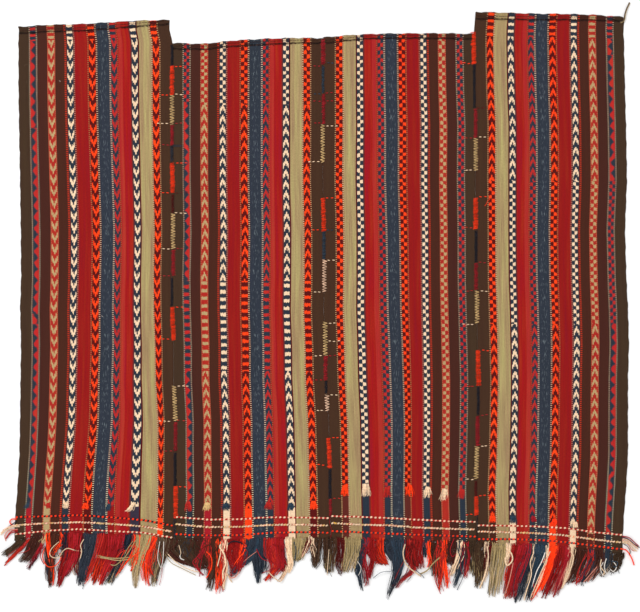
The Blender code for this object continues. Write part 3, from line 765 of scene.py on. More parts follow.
# One row for each lock: its dye, the pixel columns of its root, the middle of its way down, its
# width at the tip in pixels and the dye of its worn tips.
locks = {
    1: (
        ("olive brown", 15, 26, ((12, 549), (5, 556)), 8, "grey brown"),
        ("motif red", 25, 30, ((20, 549), (11, 558), (4, 566)), 3, "orange"),
        ("maroon brown", 29, 43, ((32, 551), (28, 557), (23, 562)), 13, "grey brown"),
        ("beige", 42, 47, ((43, 541), (42, 545)), 4, "cream"),
        ("crimson", 43, 47, ((39, 550), (34, 560), (28, 570)), 2, "night"),
        ("dark brown", 47, 61, ((51, 552), (50, 570), (50, 587)), 5, "slate"),
        ("orange", 46, 50, ((50, 556), (53, 570), (53, 585)), 3, "orange"),
        ("orange", 60, 63, ((58, 548), (54, 553), (52, 562)), 2, "orange"),
        ("night", 61, 68, ((66, 552), (65, 563)), 4, "slate"),
        ("red", 64, 82, ((70, 553), (63, 570), (58, 587)), 5, "crimson"),
        ("crimson", 68, 83, ((74, 556), (70, 566), (64, 577)), 6, "night"),
        ("maroon", 78, 84, ((77, 556), (76, 568), (77, 576)), 3, "cream"),
        ("navy", 83, 97, ((88, 551), (83, 569), (80, 586)), 7, "navy"),
        ("motif red", 97, 104, ((95, 556), (90, 570), (85, 583)), 4, "orange"),
        ("red", 99, 113, ((104, 553), (98, 569), (93, 585)), 6, "orange"),
        ("crimson", 108, 125, ((114, 553), (106, 569), (100, 585)), 6, "orange"),
        ("red", 104, 122, ((109, 552), (106, 561), (103, 570)), 14, "crimson"),
        ("night", 124, 132, ((123, 552), (114, 569), (106, 585)), 4, "khaki"),
        ("motif navy", 126, 136, ((127, 554), (118, 570), (112, 583)), 4, "cream"),
        ("orange", 132, 136, ((130, 556), (123, 566), (117, 576)), 3, "motif red"),
        ("khaki", 136, 151, ((142, 548), (135, 558), (130, 566)), 7, "khaki"),
        ("khaki", 140, 151, ((141, 553), (136, 570), (135, 588)), 4, "cream"),
        ("orange", 137, 141, ((137, 557), (134, 566), (132, 572)), 2, "orange"),
        ("orange", 149, 157, ((146, 553), (145, 569), (147, 587)), 6, "orange"),
        ("motif red", 150, 158, ((149, 554), (151, 570), (157, 581)), 4, "orange"),
        ("brown", 157, 172, ((164, 547), (159, 560), (156, 572)), 11, "grey brown"),
        ("grey brown", 157, 170, ((160, 552), (155, 569), (153, 586)), 6, "beige"),
    ),
    2: (
        ("olive brown", 173, 190, ((180, 550), (191, 559), (203, 569)), 14, "grey brown"),
        ("maroon brown", 163, 178, ((168, 549), (176, 558), (194, 567)), 9, "grey brown"),
        ("olive brown", 182, 196, ((189, 550), (195, 558), (202, 564)), 13, "grey brown"),
        ("motif navy", 184, 191, ((182, 549), (184, 557)), 5, "cream"),
        ("maroon brown", 190, 206, ((196, 551), (200, 560), (205, 570)), 12, "maroon"),
        ("dark brown", 198, 214, ((204, 551), (207, 560), (211, 568)), 12, "brown"),
        ("crimson", 202, 208, ((202, 554), (197, 565), (202, 575)), 4, "motif red"),
        ("motif red", 203, 211, ((207, 552), (211, 563), (208, 577)), 4, "orange"),
        ("dark brown", 209, 222, ((214, 556), (212, 572), (209, 590)), 7, "grey brown"),
        ("dark brown", 212, 223, ((217, 555), (216, 568), (214, 580)), 7, "brown"),
        ("orange", 216, 221, ((219, 566), (219, 580), (217, 592)), 6, "orange"),
        ("motif red", 221, 227, ((222, 560), (224, 576), (222, 590)), 5, "orange"),
        ("cream", 221, 228, ((223, 554), (226, 568), (223, 589)), 3, "cream"),
        ("red", 227, 244, ((234, 556), (236, 567), (232, 577)), 9, "crimson"),
        ("red", 228, 243, ((240, 551), (241, 561), (235, 572)), 8, "crimson"),
        ("orange", 240, 247, ((243, 548), (240, 557), (236, 565)), 3, "orange"),
        ("navy", 246, 256, ((247, 550), (242, 557)), 5, "slate"),
        ("slate", 249, 259, ((251, 552), (247, 561), (243, 566)), 5, "navy"),
        ("navy", 250, 264, ((257, 554), (258, 568), (258, 583)), 5, "slate"),
        ("motif navy", 257, 266, ((262, 553), (264, 563), (262, 574)), 5, "night"),
        ("red", 264, 284, ((274, 553), (280, 562), (284, 572)), 12, "crimson"),
        ("motif red", 264, 275, ((269, 553), (275, 566), (265, 581)), 5, "orange"),
        ("crimson", 272, 284, ((279, 555), (280, 567), (270, 580)), 6, "orange"),
        ("cream", 285, 292, ((289, 553), (291, 564), (289, 573)), 4, "cream"),
        ("cream", 286, 291, ((290, 558), (286, 570), (279, 582)), 4, "pink"),
        ("khaki", 292, 308, ((299, 549), (298, 556), (295, 562)), 9, "khaki"),
        ("maroon", 306, 312, ((306, 548), (302, 556)), 4, "maroon"),
        ("cream", 308, 312, ((307, 549), (301, 558)), 2, "pink"),
        ("cream", 309, 314, ((313, 549), (315, 559)), 2, "pink"),
        ("brown", 311, 322, ((316, 549), (316, 560), (314, 568)), 5, "grey brown"),
    ),
    3: (
        ("brown", 323, 337, ((330, 551), (329, 562), (328, 574)), 10, "beige"),
        ("maroon", 336, 345, ((341, 552), (340, 563), (340, 575)), 7, "maroon brown"),
        ("khaki", 343, 361, ((352, 551), (349, 562), (346, 573)), 15, "cream"),
        ("motif navy", 360, 369, ((360, 553), (358, 569), (363, 591)), 4, "slate"),
        ("crimson", 362, 370, ((363, 556), (366, 570), (368, 587)), 4, "maroon"),
        ("red", 367, 384, ((375, 552), (379, 560), (384, 565)), 13, "orange"),
        ("orange", 377, 384, ((381, 551), (384, 560), (390, 565)), 4, "motif red"),
        ("red", 368, 374, ((372, 557), (371, 568), (369, 578)), 2, "crimson"),
        ("navy", 384, 393, ((387, 550), (392, 558), (397, 567)), 5, "navy"),
        ("navy", 390, 406, ((397, 555), (397, 574), (388, 596)), 5, "night"),
        ("slate", 391, 404, ((399, 553), (400, 566), (396, 577)), 6, "navy"),
        ("red", 404, 424, ((413, 552), (415, 561), (418, 569)), 14, "crimson"),
        ("maroon", 405, 416, ((409, 553), (411, 561), (413, 566)), 9, "maroon brown"),
        ("motif red", 409, 416, ((413, 568), (404, 578), (395, 588)), 4, "navy"),
        ("motif navy", 422, 429, ((425, 550), (424, 558)), 4, "night"),
        ("orange", 426, 431, ((429, 553), (430, 561), (427, 568)), 3, "orange"),
        ("dark brown", 429, 443, ((435, 553), (436, 564), (435, 577)), 9, "grey brown"),
        ("motif red", 437, 445, ((441, 556), (441, 572), (439, 591)), 4, "orange"),
        ("orange", 441, 447, ((444, 558), (446, 572), (447, 588)), 3, "motif red"),
        ("maroon brown", 445, 458, ((450, 552), (450, 559), (450, 566)), 9, "maroon"),
        ("motif navy", 455, 464, ((460, 552), (460, 568), (454, 588)), 5, "slate"),
        ("cream", 456, 464, ((459, 556), (454, 568), (450, 576)), 5, "slate"),
        ("crimson", 463, 469, ((467, 556), (466, 568), (465, 577)), 2, "orange"),
        ("olive brown", 465, 481, ((472, 552), (474, 564), (477, 577)), 12, "beige"),
    ),
    4: (
        ("brown", 476, 489, ((480, 556), (479, 572), (478, 588)), 9, "beige"),
        ("cream", 484, 489, ((487, 554), (486, 570), (480, 589)), 3, "beige"),
        ("maroon", 486, 493, ((489, 552), (488, 562), (486, 572)), 5, "maroon brown"),
        ("khaki", 492, 507, ((499, 556), (496, 576), (493, 597)), 13, "cream"),
        ("cream", 505, 513, ((508, 553), (506, 560), (508, 568)), 5, "cream"),
        ("red", 511, 524, ((514, 562), (509, 580), (505, 599)), 8, "orange"),
        ("crimson", 518, 531, ((520, 563), (515, 580), (511, 599)), 8, "motif red"),
        ("navy", 527, 538, ((528, 562), (522, 582), (516, 603)), 7, "navy"),
        ("slate", 534, 547, ((538, 562), (532, 582), (526, 602)), 8, "night"),
        ("cream", 532, 536, ((533, 558), (529, 576), (525, 598)), 2, "beige"),
        ("cream", 545, 549, ((546, 560), (540, 578), (531, 600)), 3, "chalk"),
        ("orange", 549, 557, ((548, 563), (540, 582), (530, 601)), 6, "orange"),
        ("orange", 551, 558, ((552, 562), (546, 578), (539, 592)), 4, "motif red"),
        ("red", 555, 566, ((557, 566), (550, 582), (543, 599)), 8, "crimson"),
        ("crimson", 562, 571, ((565, 564), (559, 581), (553, 597)), 7, "pink"),
        ("cream", 568, 576, ((571, 558), (568, 572), (561, 590)), 4, "pink"),
        ("dark brown", 574, 589, ((580, 560), (575, 572), (569, 583)), 12, "grey brown"),
        ("motif red", 587, 594, ((590, 562), (584, 573), (575, 585)), 4, "crimson"),
        ("motif navy", 589, 595, ((592, 564), (587, 574), (580, 583)), 4, "night"),
        ("maroon brown", 592, 606, ((597, 563), (592, 573), (586, 582)), 10, "pink"),
        ("motif navy", 603, 612, ((607, 563), (604, 570), (602, 577)), 7, "cream"),
        ("olive brown", 610, 624, ((616, 560), (615, 567), (611, 573)), 9, "grey brown"),
    ),
}

# Single yarns that lie over the locks: dye, thickness and the pixels that each passes.
looseYarns = {
    1: (
        ("orange", 0.8, ((45, 548), (43, 557), (48, 566), (56, 565), (61, 558), (60, 553))),
        ("crimson", 0.6, ((42, 545), (41, 556), (44, 564))),
        ("cream", 0.7, ((60, 541), (53, 547), (50, 553), (53, 557), (59, 557), (63, 551),
                        (68, 548), (75, 550), (82, 551))),
        ("grey brown", 0.7, ((58, 548), (58, 554), (61, 556), (64, 552))),
        ("orange", 0.8, ((62, 540), (58, 546), (55, 550))),
        ("cream", 0.7, ((84, 539), (81, 545), (82, 551), (80, 560))),
        ("khaki", 0.9, ((131, 557), (117, 558), (106, 557), (97, 555))),
        ("beige", 0.8, ((131, 559), (118, 560), (106, 558), (97, 557))),
        ("khaki", 0.8, ((136, 540), (128, 553), (122, 560), (115, 565), (108, 563))),
        ("beige", 0.6, ((133, 541), (128, 548), (124, 556))),
        ("orange", 0.7, ((140, 552), (133, 556), (127, 561), (123, 568))),
        ("chalk", 0.5, ((160, 541), (158, 558), (162, 570))),
        ("chalk", 0.5, ((164, 541), (163, 560), (158, 580))),
    ),
    2: (
        ("cream", 0.6, ((166, 551), (172, 558), (181, 565), (192, 570), (200, 572))),
        ("beige", 0.5, ((165, 553), (171, 562), (182, 568), (196, 575))),
        ("chalk", 0.9, ((180, 555), (181, 558), (185, 560))),
        ("cream", 0.5, ((179, 545), (181, 552), (180, 556))),
        ("crimson", 0.7, ((203, 550), (197, 557), (193, 562), (198, 569), (204, 575))),
        ("orange", 0.8, ((206, 551), (211, 556), (212, 565), (208, 575), (206, 578))),
        ("cream", 1.2, ((221, 544), (220, 547), (224, 553), (226, 563), (223, 572), (224, 589))),
        ("cream", 0.8, ((221, 552), (219, 560), (217, 568))),
        ("cream", 0.9, ((226, 570), (229, 577), (232, 582))),
        ("pink", 0.9, ((225, 570), (230, 577), (236, 576), (240, 569))),
        ("night", 1.0, ((228, 544), (233, 541), (240, 542), (245, 545))),
        ("slate", 0.7, ((236, 566), (232, 572), (236, 573), (238, 566))),
        ("pink", 0.5, ((257, 551), (250, 556), (243, 562))),
        ("crimson", 0.6, ((256, 548), (262, 558), (272, 562), (280, 567))),
        ("crimson", 0.6, ((283, 566), (272, 569), (262, 573))),
        ("cream", 0.8, ((268, 571), (274, 577), (280, 581), (284, 577))),
        ("cream", 0.7, ((287, 541), (290, 550), (293, 562), (290, 572))),
        ("slate", 0.6, ((294, 541), (296, 552), (294, 566))),
    ),
    3: (
        ("cream", 0.5, ((329, 549), (328, 562), (327, 575))),
        ("cream", 1.0, ((405, 544), (403, 553), (406, 564), (415, 572), (421, 576))),
        ("beige", 1.0, ((441, 556), (433, 563), (427, 570), (420, 574))),
        ("crimson", 0.6, ((454, 538), (450, 549), (452, 556), (457, 553))),
        ("slate", 0.4, ((391, 571), (381, 572), (373, 578))),
        ("red", 0.5, ((374, 561), (372, 570), (370, 579))),
        ("chalk", 0.5, ((357, 560), (361, 568), (358, 576))),
        ("slate", 0.5, ((416, 570), (422, 575), (424, 578))),
        ("motif red", 0.7, ((436, 545), (439, 553), (443, 558), (446, 553))),
    ),
    4: (
        ("cream", 0.9, ((487, 546), (488, 556), (486, 570), (480, 588))),
        ("cream", 1.1, ((506, 548), (511, 553), (512, 560), (507, 565), (505, 559), (509, 553))),
        ("pink", 0.8, ((513, 562), (509, 580), (504, 596))),
        ("cream", 0.8, ((534, 551), (530, 562), (531, 574), (527, 588), (524, 600))),
        ("chalk", 0.8, ((545, 552), (541, 562), (536, 572), (531, 590))),
        ("cream", 0.8, ((550, 551), (545, 562), (538, 578), (530, 598))),
        ("slate", 0.7, ((540, 551), (536, 566), (527, 584), (520, 600))),
        ("cream", 1.0, ((571, 551), (573, 558), (569, 572), (562, 588))),
        ("pink", 0.6, ((597, 566), (590, 574), (583, 582))),
        ("cream", 0.9, ((601, 559), (600, 566), (604, 572), (600, 576))),
        ("chalk", 0.8, ((606, 558), (604, 566), (606, 573), (610, 570))),
        ("chalk", 0.7, ((603, 562), (600, 568), (603, 575), (607, 573))),
        ("chalk", 0.7, ((612, 560), (616, 566), (613, 571), (609, 568))),
        ("slate", 0.8, ((611, 561), (617, 562), (615, 567), (611, 564))),
    ),
}


def smoothPath(points, reach, samples):
    # Catmull-Rom curves through the middle points of (yarns, knots, 2), each followed as far as
    # its reach (0 to 1) and cut into equal steps.
    first = 2 * points[:, :1] - points[:, 1:2]
    last = 2 * points[:, -1:] - points[:, -2:-1]
    knots = np.concatenate([first, points, last], axis=1)
    along = np.linspace(0, 1, samples)[None, :] * np.asarray(reach)[:, None] * (points.shape[1] - 1)
    span = np.minimum(along.astype(int), points.shape[1] - 2)
    t = (along - span)[..., None]
    row = np.arange(len(points))[:, None]
    a, b, c, d = (knots[row, span + k] for k in range(4))
    square = (2 * a - 5 * b + 4 * c - d) * t ** 2
    return 0.5 * (2 * b + (c - a) * t + square + (3 * b - a - 3 * c + d) * t ** 3)


def tubes(name, paths, radii, colours, finish, slotName, nodes=()):
    # Round yarns as one mesh of four-sided tubes: paths (yarns, steps, 3) in metres, radii and
    # colours for each step, radii in mm. Each ring lies across the way of the yarn.
    paths, radii = np.asarray(paths, float), np.asarray(radii, float) / 1000
    count, steps = paths.shape[:2]
    radii = np.broadcast_to(radii, (count, steps))
    ahead = np.gradient(paths, axis=1)
    ahead = ahead / np.maximum(np.linalg.norm(ahead, axis=-1, keepdims=True), 1e-9)
    side = np.cross(ahead, (0.0, 0.0, 1.0))
    side = side / np.maximum(np.linalg.norm(side, axis=-1, keepdims=True), 1e-6)
    up = np.cross(side, ahead)
    turns = np.array((math.pi / 4, 3 * math.pi / 4, 5 * math.pi / 4, 7 * math.pi / 4))
    ring = np.cos(turns)[:, None] * side[:, :, None] + np.sin(turns)[:, None] * up[:, :, None]
    points = paths[:, :, None] + ring * radii[:, :, None, None]
    points[..., 2] = np.maximum(points[..., 2], 0.00005)   # nothing dips below the floor
    index = np.arange(count * steps * 4).reshape(count, steps, 4)
    around = np.roll(index, -1, axis=2)
    walls = np.stack([index[:, :-1], around[:, :-1], around[:, 1:], index[:, 1:]], axis=-1).reshape(-1, 4)
    caps = np.concatenate([index[:, 0, ::-1], index[:, -1]])
    mesh, corners = newMesh(name, points.reshape(-1, 3), np.concatenate([walls, caps]))
    colours = np.broadcast_to(colours, (count, steps, 3))
    colours = np.repeat(colours.reshape(-1, 1, 3), 4, axis=1).reshape(-1, 3)
    opaque = np.ones((len(colours), 1))
    addAttribute(mesh, "dye", "FLOAT_COLOR", "POINT", np.concatenate([colours, opaque], axis=1))
    length = np.cumsum(np.linalg.norm(np.diff(paths, axis=1, prepend=paths[:, :1]), axis=-1), axis=1)
    turnUv = np.tile(np.arange(4) / 4, count * steps)
    lengthUv = np.repeat(length.ravel() * 1000, 4)
    addUv(mesh, "ply", np.stack([turnUv, lengthUv], axis=-1)[corners])
    mesh.shade_smooth()
    return newPiece(mesh, finish, nodes)


def yarnMaterial(name, plyLength):
    # Two-ply wool yarn: matt and soft, with painted shade in darker lines where its plies twist round each
    # other and painted light on the plies between.
    finish, tree, shader = newMaterial(name, Roughness=0.9)
    shader.inputs["Specular IOR Level"].default_value = 0.15
    shader.inputs["Sheen Weight"].default_value = 0.05
    dye = addNode(tree, "ShaderNodeAttribute", attribute_name="dye").outputs["Color"]
    turn, length, _ = addNode(tree, "ShaderNodeSeparateXYZ", {
        "Vector": addNode(tree, "ShaderNodeUVMap", uv_map="ply").outputs[0]}).outputs
    twist = addNode(tree, "ShaderNodeMath", {0: length, 1: 1 / plyLength, 2: turn},
                    operation="MULTIPLY_ADD").outputs[0]
    wave = addNode(tree, "ShaderNodeMath", {0: twist, 1: 1.0}, operation="PINGPONG").outputs[0]
    # painted shade in the grooves between the plies and painted light on their crests
    shade = addNode(tree, "ShaderNodeMapRange", {"Value": wave, "From Min": 0.0, "From Max": 1.0,
                                                 "To Min": 0.86, "To Max": 1.1}).outputs["Result"]
    dark = addNode(tree, "ShaderNodeHueSaturation", {"Value": shade, "Color": dye}).outputs[0]
    tree.links.new(dark, shader.inputs["Base Color"])
    return finish


def spreadLock(strip, lock):
    # The yarns of one lock: side by side at the root, drawn together on their way to the tip,
    # of uneven length, wavy and piled over each other, with painted shade on the lower yarns and painted
    # light on the highest.
    dye, left, right, way, tipWidth, tipDye = lock
    count = max(6, round((right - left) * fringe["yarnsPerPixel"]))
    spread = (np.arange(count) + chance.uniform(0.1, 0.9, count)) / count - 0.5
    rootPx = (left + right) / 2 + spread * (right - left)
    rootX = toX(rootPx)
    rootDown = rootLine(strip, rootX)
    middle = np.array([photoPlace(px, py) for px, py in way])
    overlap = chance.uniform(*fringe["overlap"], count)
    knots = [np.stack([rootX, rootDown - overlap], axis=-1), np.stack([rootX, rootDown], axis=-1)]
    wild = np.where(chance.random(count) < fringe["wildShare"], fringe["wildFactor"], 1.0)
    for k, (x, down) in enumerate(middle):
        share = ((k + 1) / len(middle)) ** 1.15
        width = ((right - left) * (1 - share) + tipWidth * share) * rug["mmPerPixel"]
        toSide = spread * width + chance.normal(0, 1.0 + 0.5 * share, count) * wild
        knots.append(np.stack([x + toSide, np.full(count, down) + chance.normal(0, 1.0, count)], axis=-1))
    reach = 1 - 0.22 * chance.random(count) ** 2 - 0.3 * np.abs(2 * spread) ** 2 * chance.random(count)
    flat = smoothPath(np.stack(knots, axis=1), reach, fringe["stretches"])
    s = np.linspace(0, 1, fringe["stretches"])[None, :]
    wave = chance.uniform(*fringe["wave"], (count, 1)) * s * np.sin(
        2 * np.pi * (chance.uniform(*fringe["waves"], (count, 1)) * s + chance.random((count, 1))))
    flat = flat + np.stack([wave, 0.4 * wave], axis=-1)
    low, high = fringe["radius"] + 0.1, fringe["pile"]
    layer = chance.random((count, 1))
    start, end = 1.1 + 1.3 * layer, low + (high - low) * layer
    height = start + (end - start) * np.clip(1.6 * s, 0, 1)
    height = height + 0.5 * np.sin(np.pi * s) * chance.random((count, 1))
    # painted shade on the lowest yarns of the pile and painted light on the highest, by layer, plus a little
    # random tone
    colour = dyes[dye] * (0.32 + 0.98 * layer + chance.uniform(-0.08, 0.16, (count, 1)))
    tipColour = dyes[tipDye] * chance.uniform(0.7, 1.15, (count, 1))
    fade = smoothStep(s, 0.5, 1.0)[..., None] * chance.choice([0.0, 0.0, 0.3, 0.9], (count, 1, 1))
    colours = colour[:, None] * (1 - fade) + tipColour[:, None] * fade
    radii = fringe["radius"] * chance.uniform(0.8, 1.15, (count, 1)) * (1 - 0.22 * s ** 3)
    return place(flat[..., 0], flat[..., 1], height), radii, colours


def rootLine(strip, x):
    # Distance down of the last weft at x, where the warps come free.
    down = levels[strip][:, 5].mean()
    left, right = edgeX(strip - 1, down), edgeX(strip, down)
    return levelDown(strip, "root", np.clip((x - left) / (right - left), 0, 1))


def layYarn(points, radius, dye, steps, low=1.2, high=3.4):
    # One yarn through pixels of the view, lying on top.
    way = np.stack(photoPlace(*np.array(points, float).T), axis=-1)[None]
    flat = smoothPath(way, [1.0], steps)
    s = np.linspace(0, 1, steps)[None, :]
    height = low + (high - low) * np.sin(np.pi * np.clip(s * 1.1, 0, 1)) ** 0.5
    colours = np.broadcast_to(dyes[dye] * chance.uniform(0.85, 1.1), (1, steps, 3))
    return place(flat[..., 0], flat[..., 1], height), np.full((1, steps), radius), colours


def tangledYarns(strip):
    # Short yarns that start somewhere on a darker lock, wander off to one side and curl back.
    parts = []
    darker = [lock for lock in locks[strip] if lock[0] not in fringe["paleDyes"]]
    for _ in range(fringe["tangled"]):
        dye, left, right, way = darker[chance.integers(len(darker))][:4]
        px = chance.uniform(left - 1, right + 1)
        py = chance.uniform(543, 547) + 8 * (strip == 4)
        end = np.array(way[chance.integers(len(way))], float) + chance.normal(0, 2.0, 2)
        bend = chance.normal(0, 3.0)
        points = [(px, py), (px + (end[0] - px) * 0.35 + bend, py + (end[1] - py) * 0.3),
                  (px + (end[0] - px) * 0.75 + bend, py + (end[1] - py) * 0.7), tuple(end)]
        parts.append(layYarn(points, chance.uniform(0.7, 1.1), dye, 12, 3.0, 6.0))
    return parts


def buildFringe(strip, finish):
    parts = [spreadLock(strip, lock) for lock in locks[strip]]
    tubes(f"fringe_yarns_{strip}", *gather(parts), finish, "cut_warp_wool", [f"fringe_{strip}"])
    parts = [layYarn(points, fringe["looseRadius"] * thickness, dye, 22, 3.5, 7.0)
             for dye, thickness, points in looseYarns[strip]]
    tubes(f"loose_yarns_{strip}", *gather(parts), finish, "cut_warp_wool")
    tubes(f"tangled_yarns_{strip}", *gather(tangledYarns(strip)), finish, "cut_warp_wool")


# Joining stitches over the three seams, and the runs beside them.
sewing = {
    "solidPitch": 1.12,       # pixels from stitch to stitch
    "openPitch": 1.35,
    "radius": 1.2,            # mm
    "dash": 2.3,              # pixels of a running stitch that show
    "dashPitch": 4.4,
    "face": 2.1,              # mm height of the cloth that the yarns lie on
    "uneven": 0.32,           # pixels that the ends of the stitches vary by
    "openDyes": ("straw", "pale pink"),
}
# Blocks of one dye: pixel rows of its top and bottom, pixel columns of its middle there, its width
# in pixels and its dye. A block of an open dye is sewn more openly, so the brown shows through it.
joinBlocks = {
    "left": (
        (45, 66, 172.3, 172.3, 2.8, "night"), (66, 95, 172.0, 172.0, 4.2, "orange red"),
        (95.5, 125, 172.0, 172.0, 4.2, "straw"), (125.5, 145, 172.0, 172.0, 3.6, "crimson"),
        (146, 162, 172.0, 172.0, 3.0, "navy"), (163, 193, 172.3, 172.7, 4.5, "orange red"),
        (195, 213, 172.7, 172.8, 2.6, "maroon"), (214, 249, 173.0, 173.2, 4.2, "straw"),
        (250, 276, 173.4, 173.4, 4.0, "crimson"), (278, 306, 172.0, 172.0, 2.6, "night"),
        (307, 340, 172.3, 173.7, 4.5, "orange red"), (386, 421, 174.0, 175.7, 4.3, "straw"),
        (422, 451, 175.5, 175.7, 3.8, "crimson"), (453, 485, 175.0, 175.2, 3.0, "night"),
        (486, 518, 175.8, 175.8, 4.4, "orange red"),
    ),
    "middle": (
        (39, 65, 323.1, 323.1, 4.8, "crimson"), (66, 93, 323.1, 323.1, 2.6, "slate"),
        (94, 124, 323.7, 323.7, 3.5, "crimson"), (125, 162, 322.7, 322.7, 3.9, "straw"),
        (198, 231, 322.8, 323.9, 4.2, "orange red"), (231.5, 259, 323.9, 323.9, 3.6, "slate"),
        (260, 292, 324.3, 324.3, 4.0, "pale pink"), (322, 355, 325.2, 325.2, 4.4, "straw"),
        (356, 380, 325.6, 325.6, 4.0, "crimson"), (381, 393, 326.1, 326.1, 2.4, "night"),
        (395, 411, 327.0, 327.0, 4.0, "pale pink"), (438, 468, 328.4, 329.8, 4.4, "orange red"),
        (469, 498, 330.0, 330.0, 3.4, "night"), (499, 516, 330.5, 330.5, 3.0, "crimson"),
    ),
    "right": (
        (32, 64, 473.4, 473.9, 4.4, "orange red"), (64.5, 108, 474.3, 474.3, 2.8, "night"),
        (109, 138, 475.6, 475.6, 3.8, "crimson"), (138.5, 170, 475.7, 475.7, 4.4, "straw"),
        (198, 229, 475.6, 475.6, 4.6, "orange red"), (231, 262, 476.0, 476.0, 3.0, "night"),
        (263, 290, 476.0, 476.0, 4.0, "crimson"), (291, 323, 476.9, 476.9, 4.2, "straw"),
        (350, 386, 477.9, 478.7, 4.8, "orange red"), (387, 415, 478.2, 478.2, 2.6, "night"),
        (416, 446, 477.4, 477.4, 4.2, "crimson"), (446.5, 479, 477.0, 475.9, 4.2, "straw"),
        (481, 496, 475.7, 475.7, 3.0, "maroon"), (496.5, 515, 476.2, 476.2, 4.4, "orange red"),
    ),
}
# The sewing yarn runs out to one side at the start and end of a block: side, pixel row and dye.
runs = {
    "left": (
        (1, 66.5, "orange red"), (-1, 95, "orange red"), (1, 94.5, "cream"), (-1, 123.5, "cream"),
        (1, 123.5, "crimson"), (-1, 145, "crimson"), (1, 163, "orange red"), (-1, 193, "orange red"),
        (1, 193, "maroon"), (1, 213, "cream"), (-1, 249, "cream"), (1, 248.5, "crimson"),
        (-1, 275.5, "crimson"), (1, 307, "orange red"), (-1, 339, "orange red"), (1, 386, "cream"),
        (-1, 421, "cream"), (1, 420.5, "motif red"), (-1, 451, "crimson"), (1, 486.5, "orange red"),
    ),
    "middle": (
        (-1, 66, "crimson"), (1, 63, "slate"), (-1, 94.5, "slate"), (1, 93, "crimson"),
        (-1, 101.5, "crimson"), (1, 101, "crimson"), (-1, 123, "crimson"), (1, 126, "cream"),
        (-1, 161.5, "cream"), (1, 198, "orange red"), (-1, 230, "orange red"), (1, 230, "slate"),
        (1, 260, "cream"), (-1, 292, "cream"), (1, 323, "cream"), (1, 341, "cream"), (-1, 355.5, "cream"),
        (1, 355.5, "crimson"), (-1, 380, "crimson"), (1, 395, "cream"), (-1, 410.5, "cream"),
        (1, 437.5, "orange red"), (-1, 465, "orange red"), (1, 498, "motif red"),
    ),
    "right": (
        (-1, 63, "orange red"), (1, 108, "maroon"), (-1, 138, "crimson"), (1, 137, "cream"),
        (-1, 170, "cream"), (1, 197, "orange red"), (-1, 228, "motif red"), (1, 262.5, "crimson"),
        (-1, 291, "crimson"), (1, 291, "cream"), (-1, 324, "cream"), (1, 350.5, "orange red"),
        (-1, 386, "motif red"), (1, 415, "crimson"), (1, 446, "cream"), (-1, 479, "cream"),
        (1, 495.5, "orange red"), (-1, 514.5, "orange red"),
    ),
}
# Threads that follow a seam below its last block, and frayed or stray threads on the cloth: dye,
# radius in mm and the pixels that each passes.
strayThreads = (
    ("navy", 0.9, ((174.5, 518), (173.5, 526), (174.5, 535), (173, 545))),
    ("motif navy", 0.8, ((176, 519), (175.5, 530), (175, 540))),
    ("crimson", 0.7, ((330.5, 515), (329.5, 522), (331.5, 530), (330.5, 538))),
    ("night", 0.9, ((477, 515), (477.5, 525), (476.8, 536), (477.2, 541))),
    ("slate", 0.8, ((172.5, 144.6), (175.5, 145.6), (178.5, 145.0), (182.5, 146.2))),
    ("slate", 0.6, ((173, 146.2), (177, 146.8), (180.5, 146.4), (183.5, 145.4))),
    ("cream", 0.8, ((572.2, 174.6), (573.4, 176.6), (572.6, 178.8), (574.0, 180.2))),
    ("orange", 0.9, ((484.5, 206.0), (486.5, 203.6), (487.6, 201.0), (490.0, 199.0))),
    ("grey brown", 0.8, ((465.4, 259.4), (466.4, 260.0), (467.0, 261.2))),
    ("chalk", 0.5, ((59.6, 80.6), (60.2, 81.2), (60.4, 82.0))),
    ("chalk", 0.5, ((101.8, 315.6), (102.2, 316.2), (102.8, 316.4))),
    ("grey brown", 0.5, ((24.0, 66.0), (26.2, 64.8), (28.2, 64.6))),
    ("grey brown", 0.5, ((26.6, 81.0), (27.0, 82.4), (27.8, 83.0))),
    ("yellow", 2.2, ((334.0, 522.4), (335.2, 523.0), (336.6, 523.6))),
)

# The three twined rows near the fringe. The middle row is a thick braid, with large pale beads and
# smaller coloured ones between them.
twining = {
    "pairPitch": 4.3,         # pixels
    "braidPitch": 3.0,
    "radius": 3.1,            # mm
    "braidRadius": 2.9,
    "endGap": 2.0,            # mm that a row stops short of the strip's edges
    "beadDyes": ("cream", "cream", "pale pink", "straw"),
    "betweenDyes": ("orange pale", "pink", "rust", "pale pink", "motif red"),
}
# The other two rows: the two yarns of the row that alternate on the face.
rowDyes = {
    1: (("row1", "orange red", "night"), ("row3", "pale pink", "motif red")),
    2: (("row1", "pale pink", "motif red"), ("row3", "orange red", "motif navy")),
    3: (("row1", "pale pink", "motif red"), ("row3", "orange red", "motif navy")),
    4: (("row1", "pale pink", "motif red"), ("row3", "orange red", "motif navy")),
}

tuft = {
    "yarns": 26,
    "stretches": 7,           # points along a yarn
    "radius": 1.0,            # mm
}
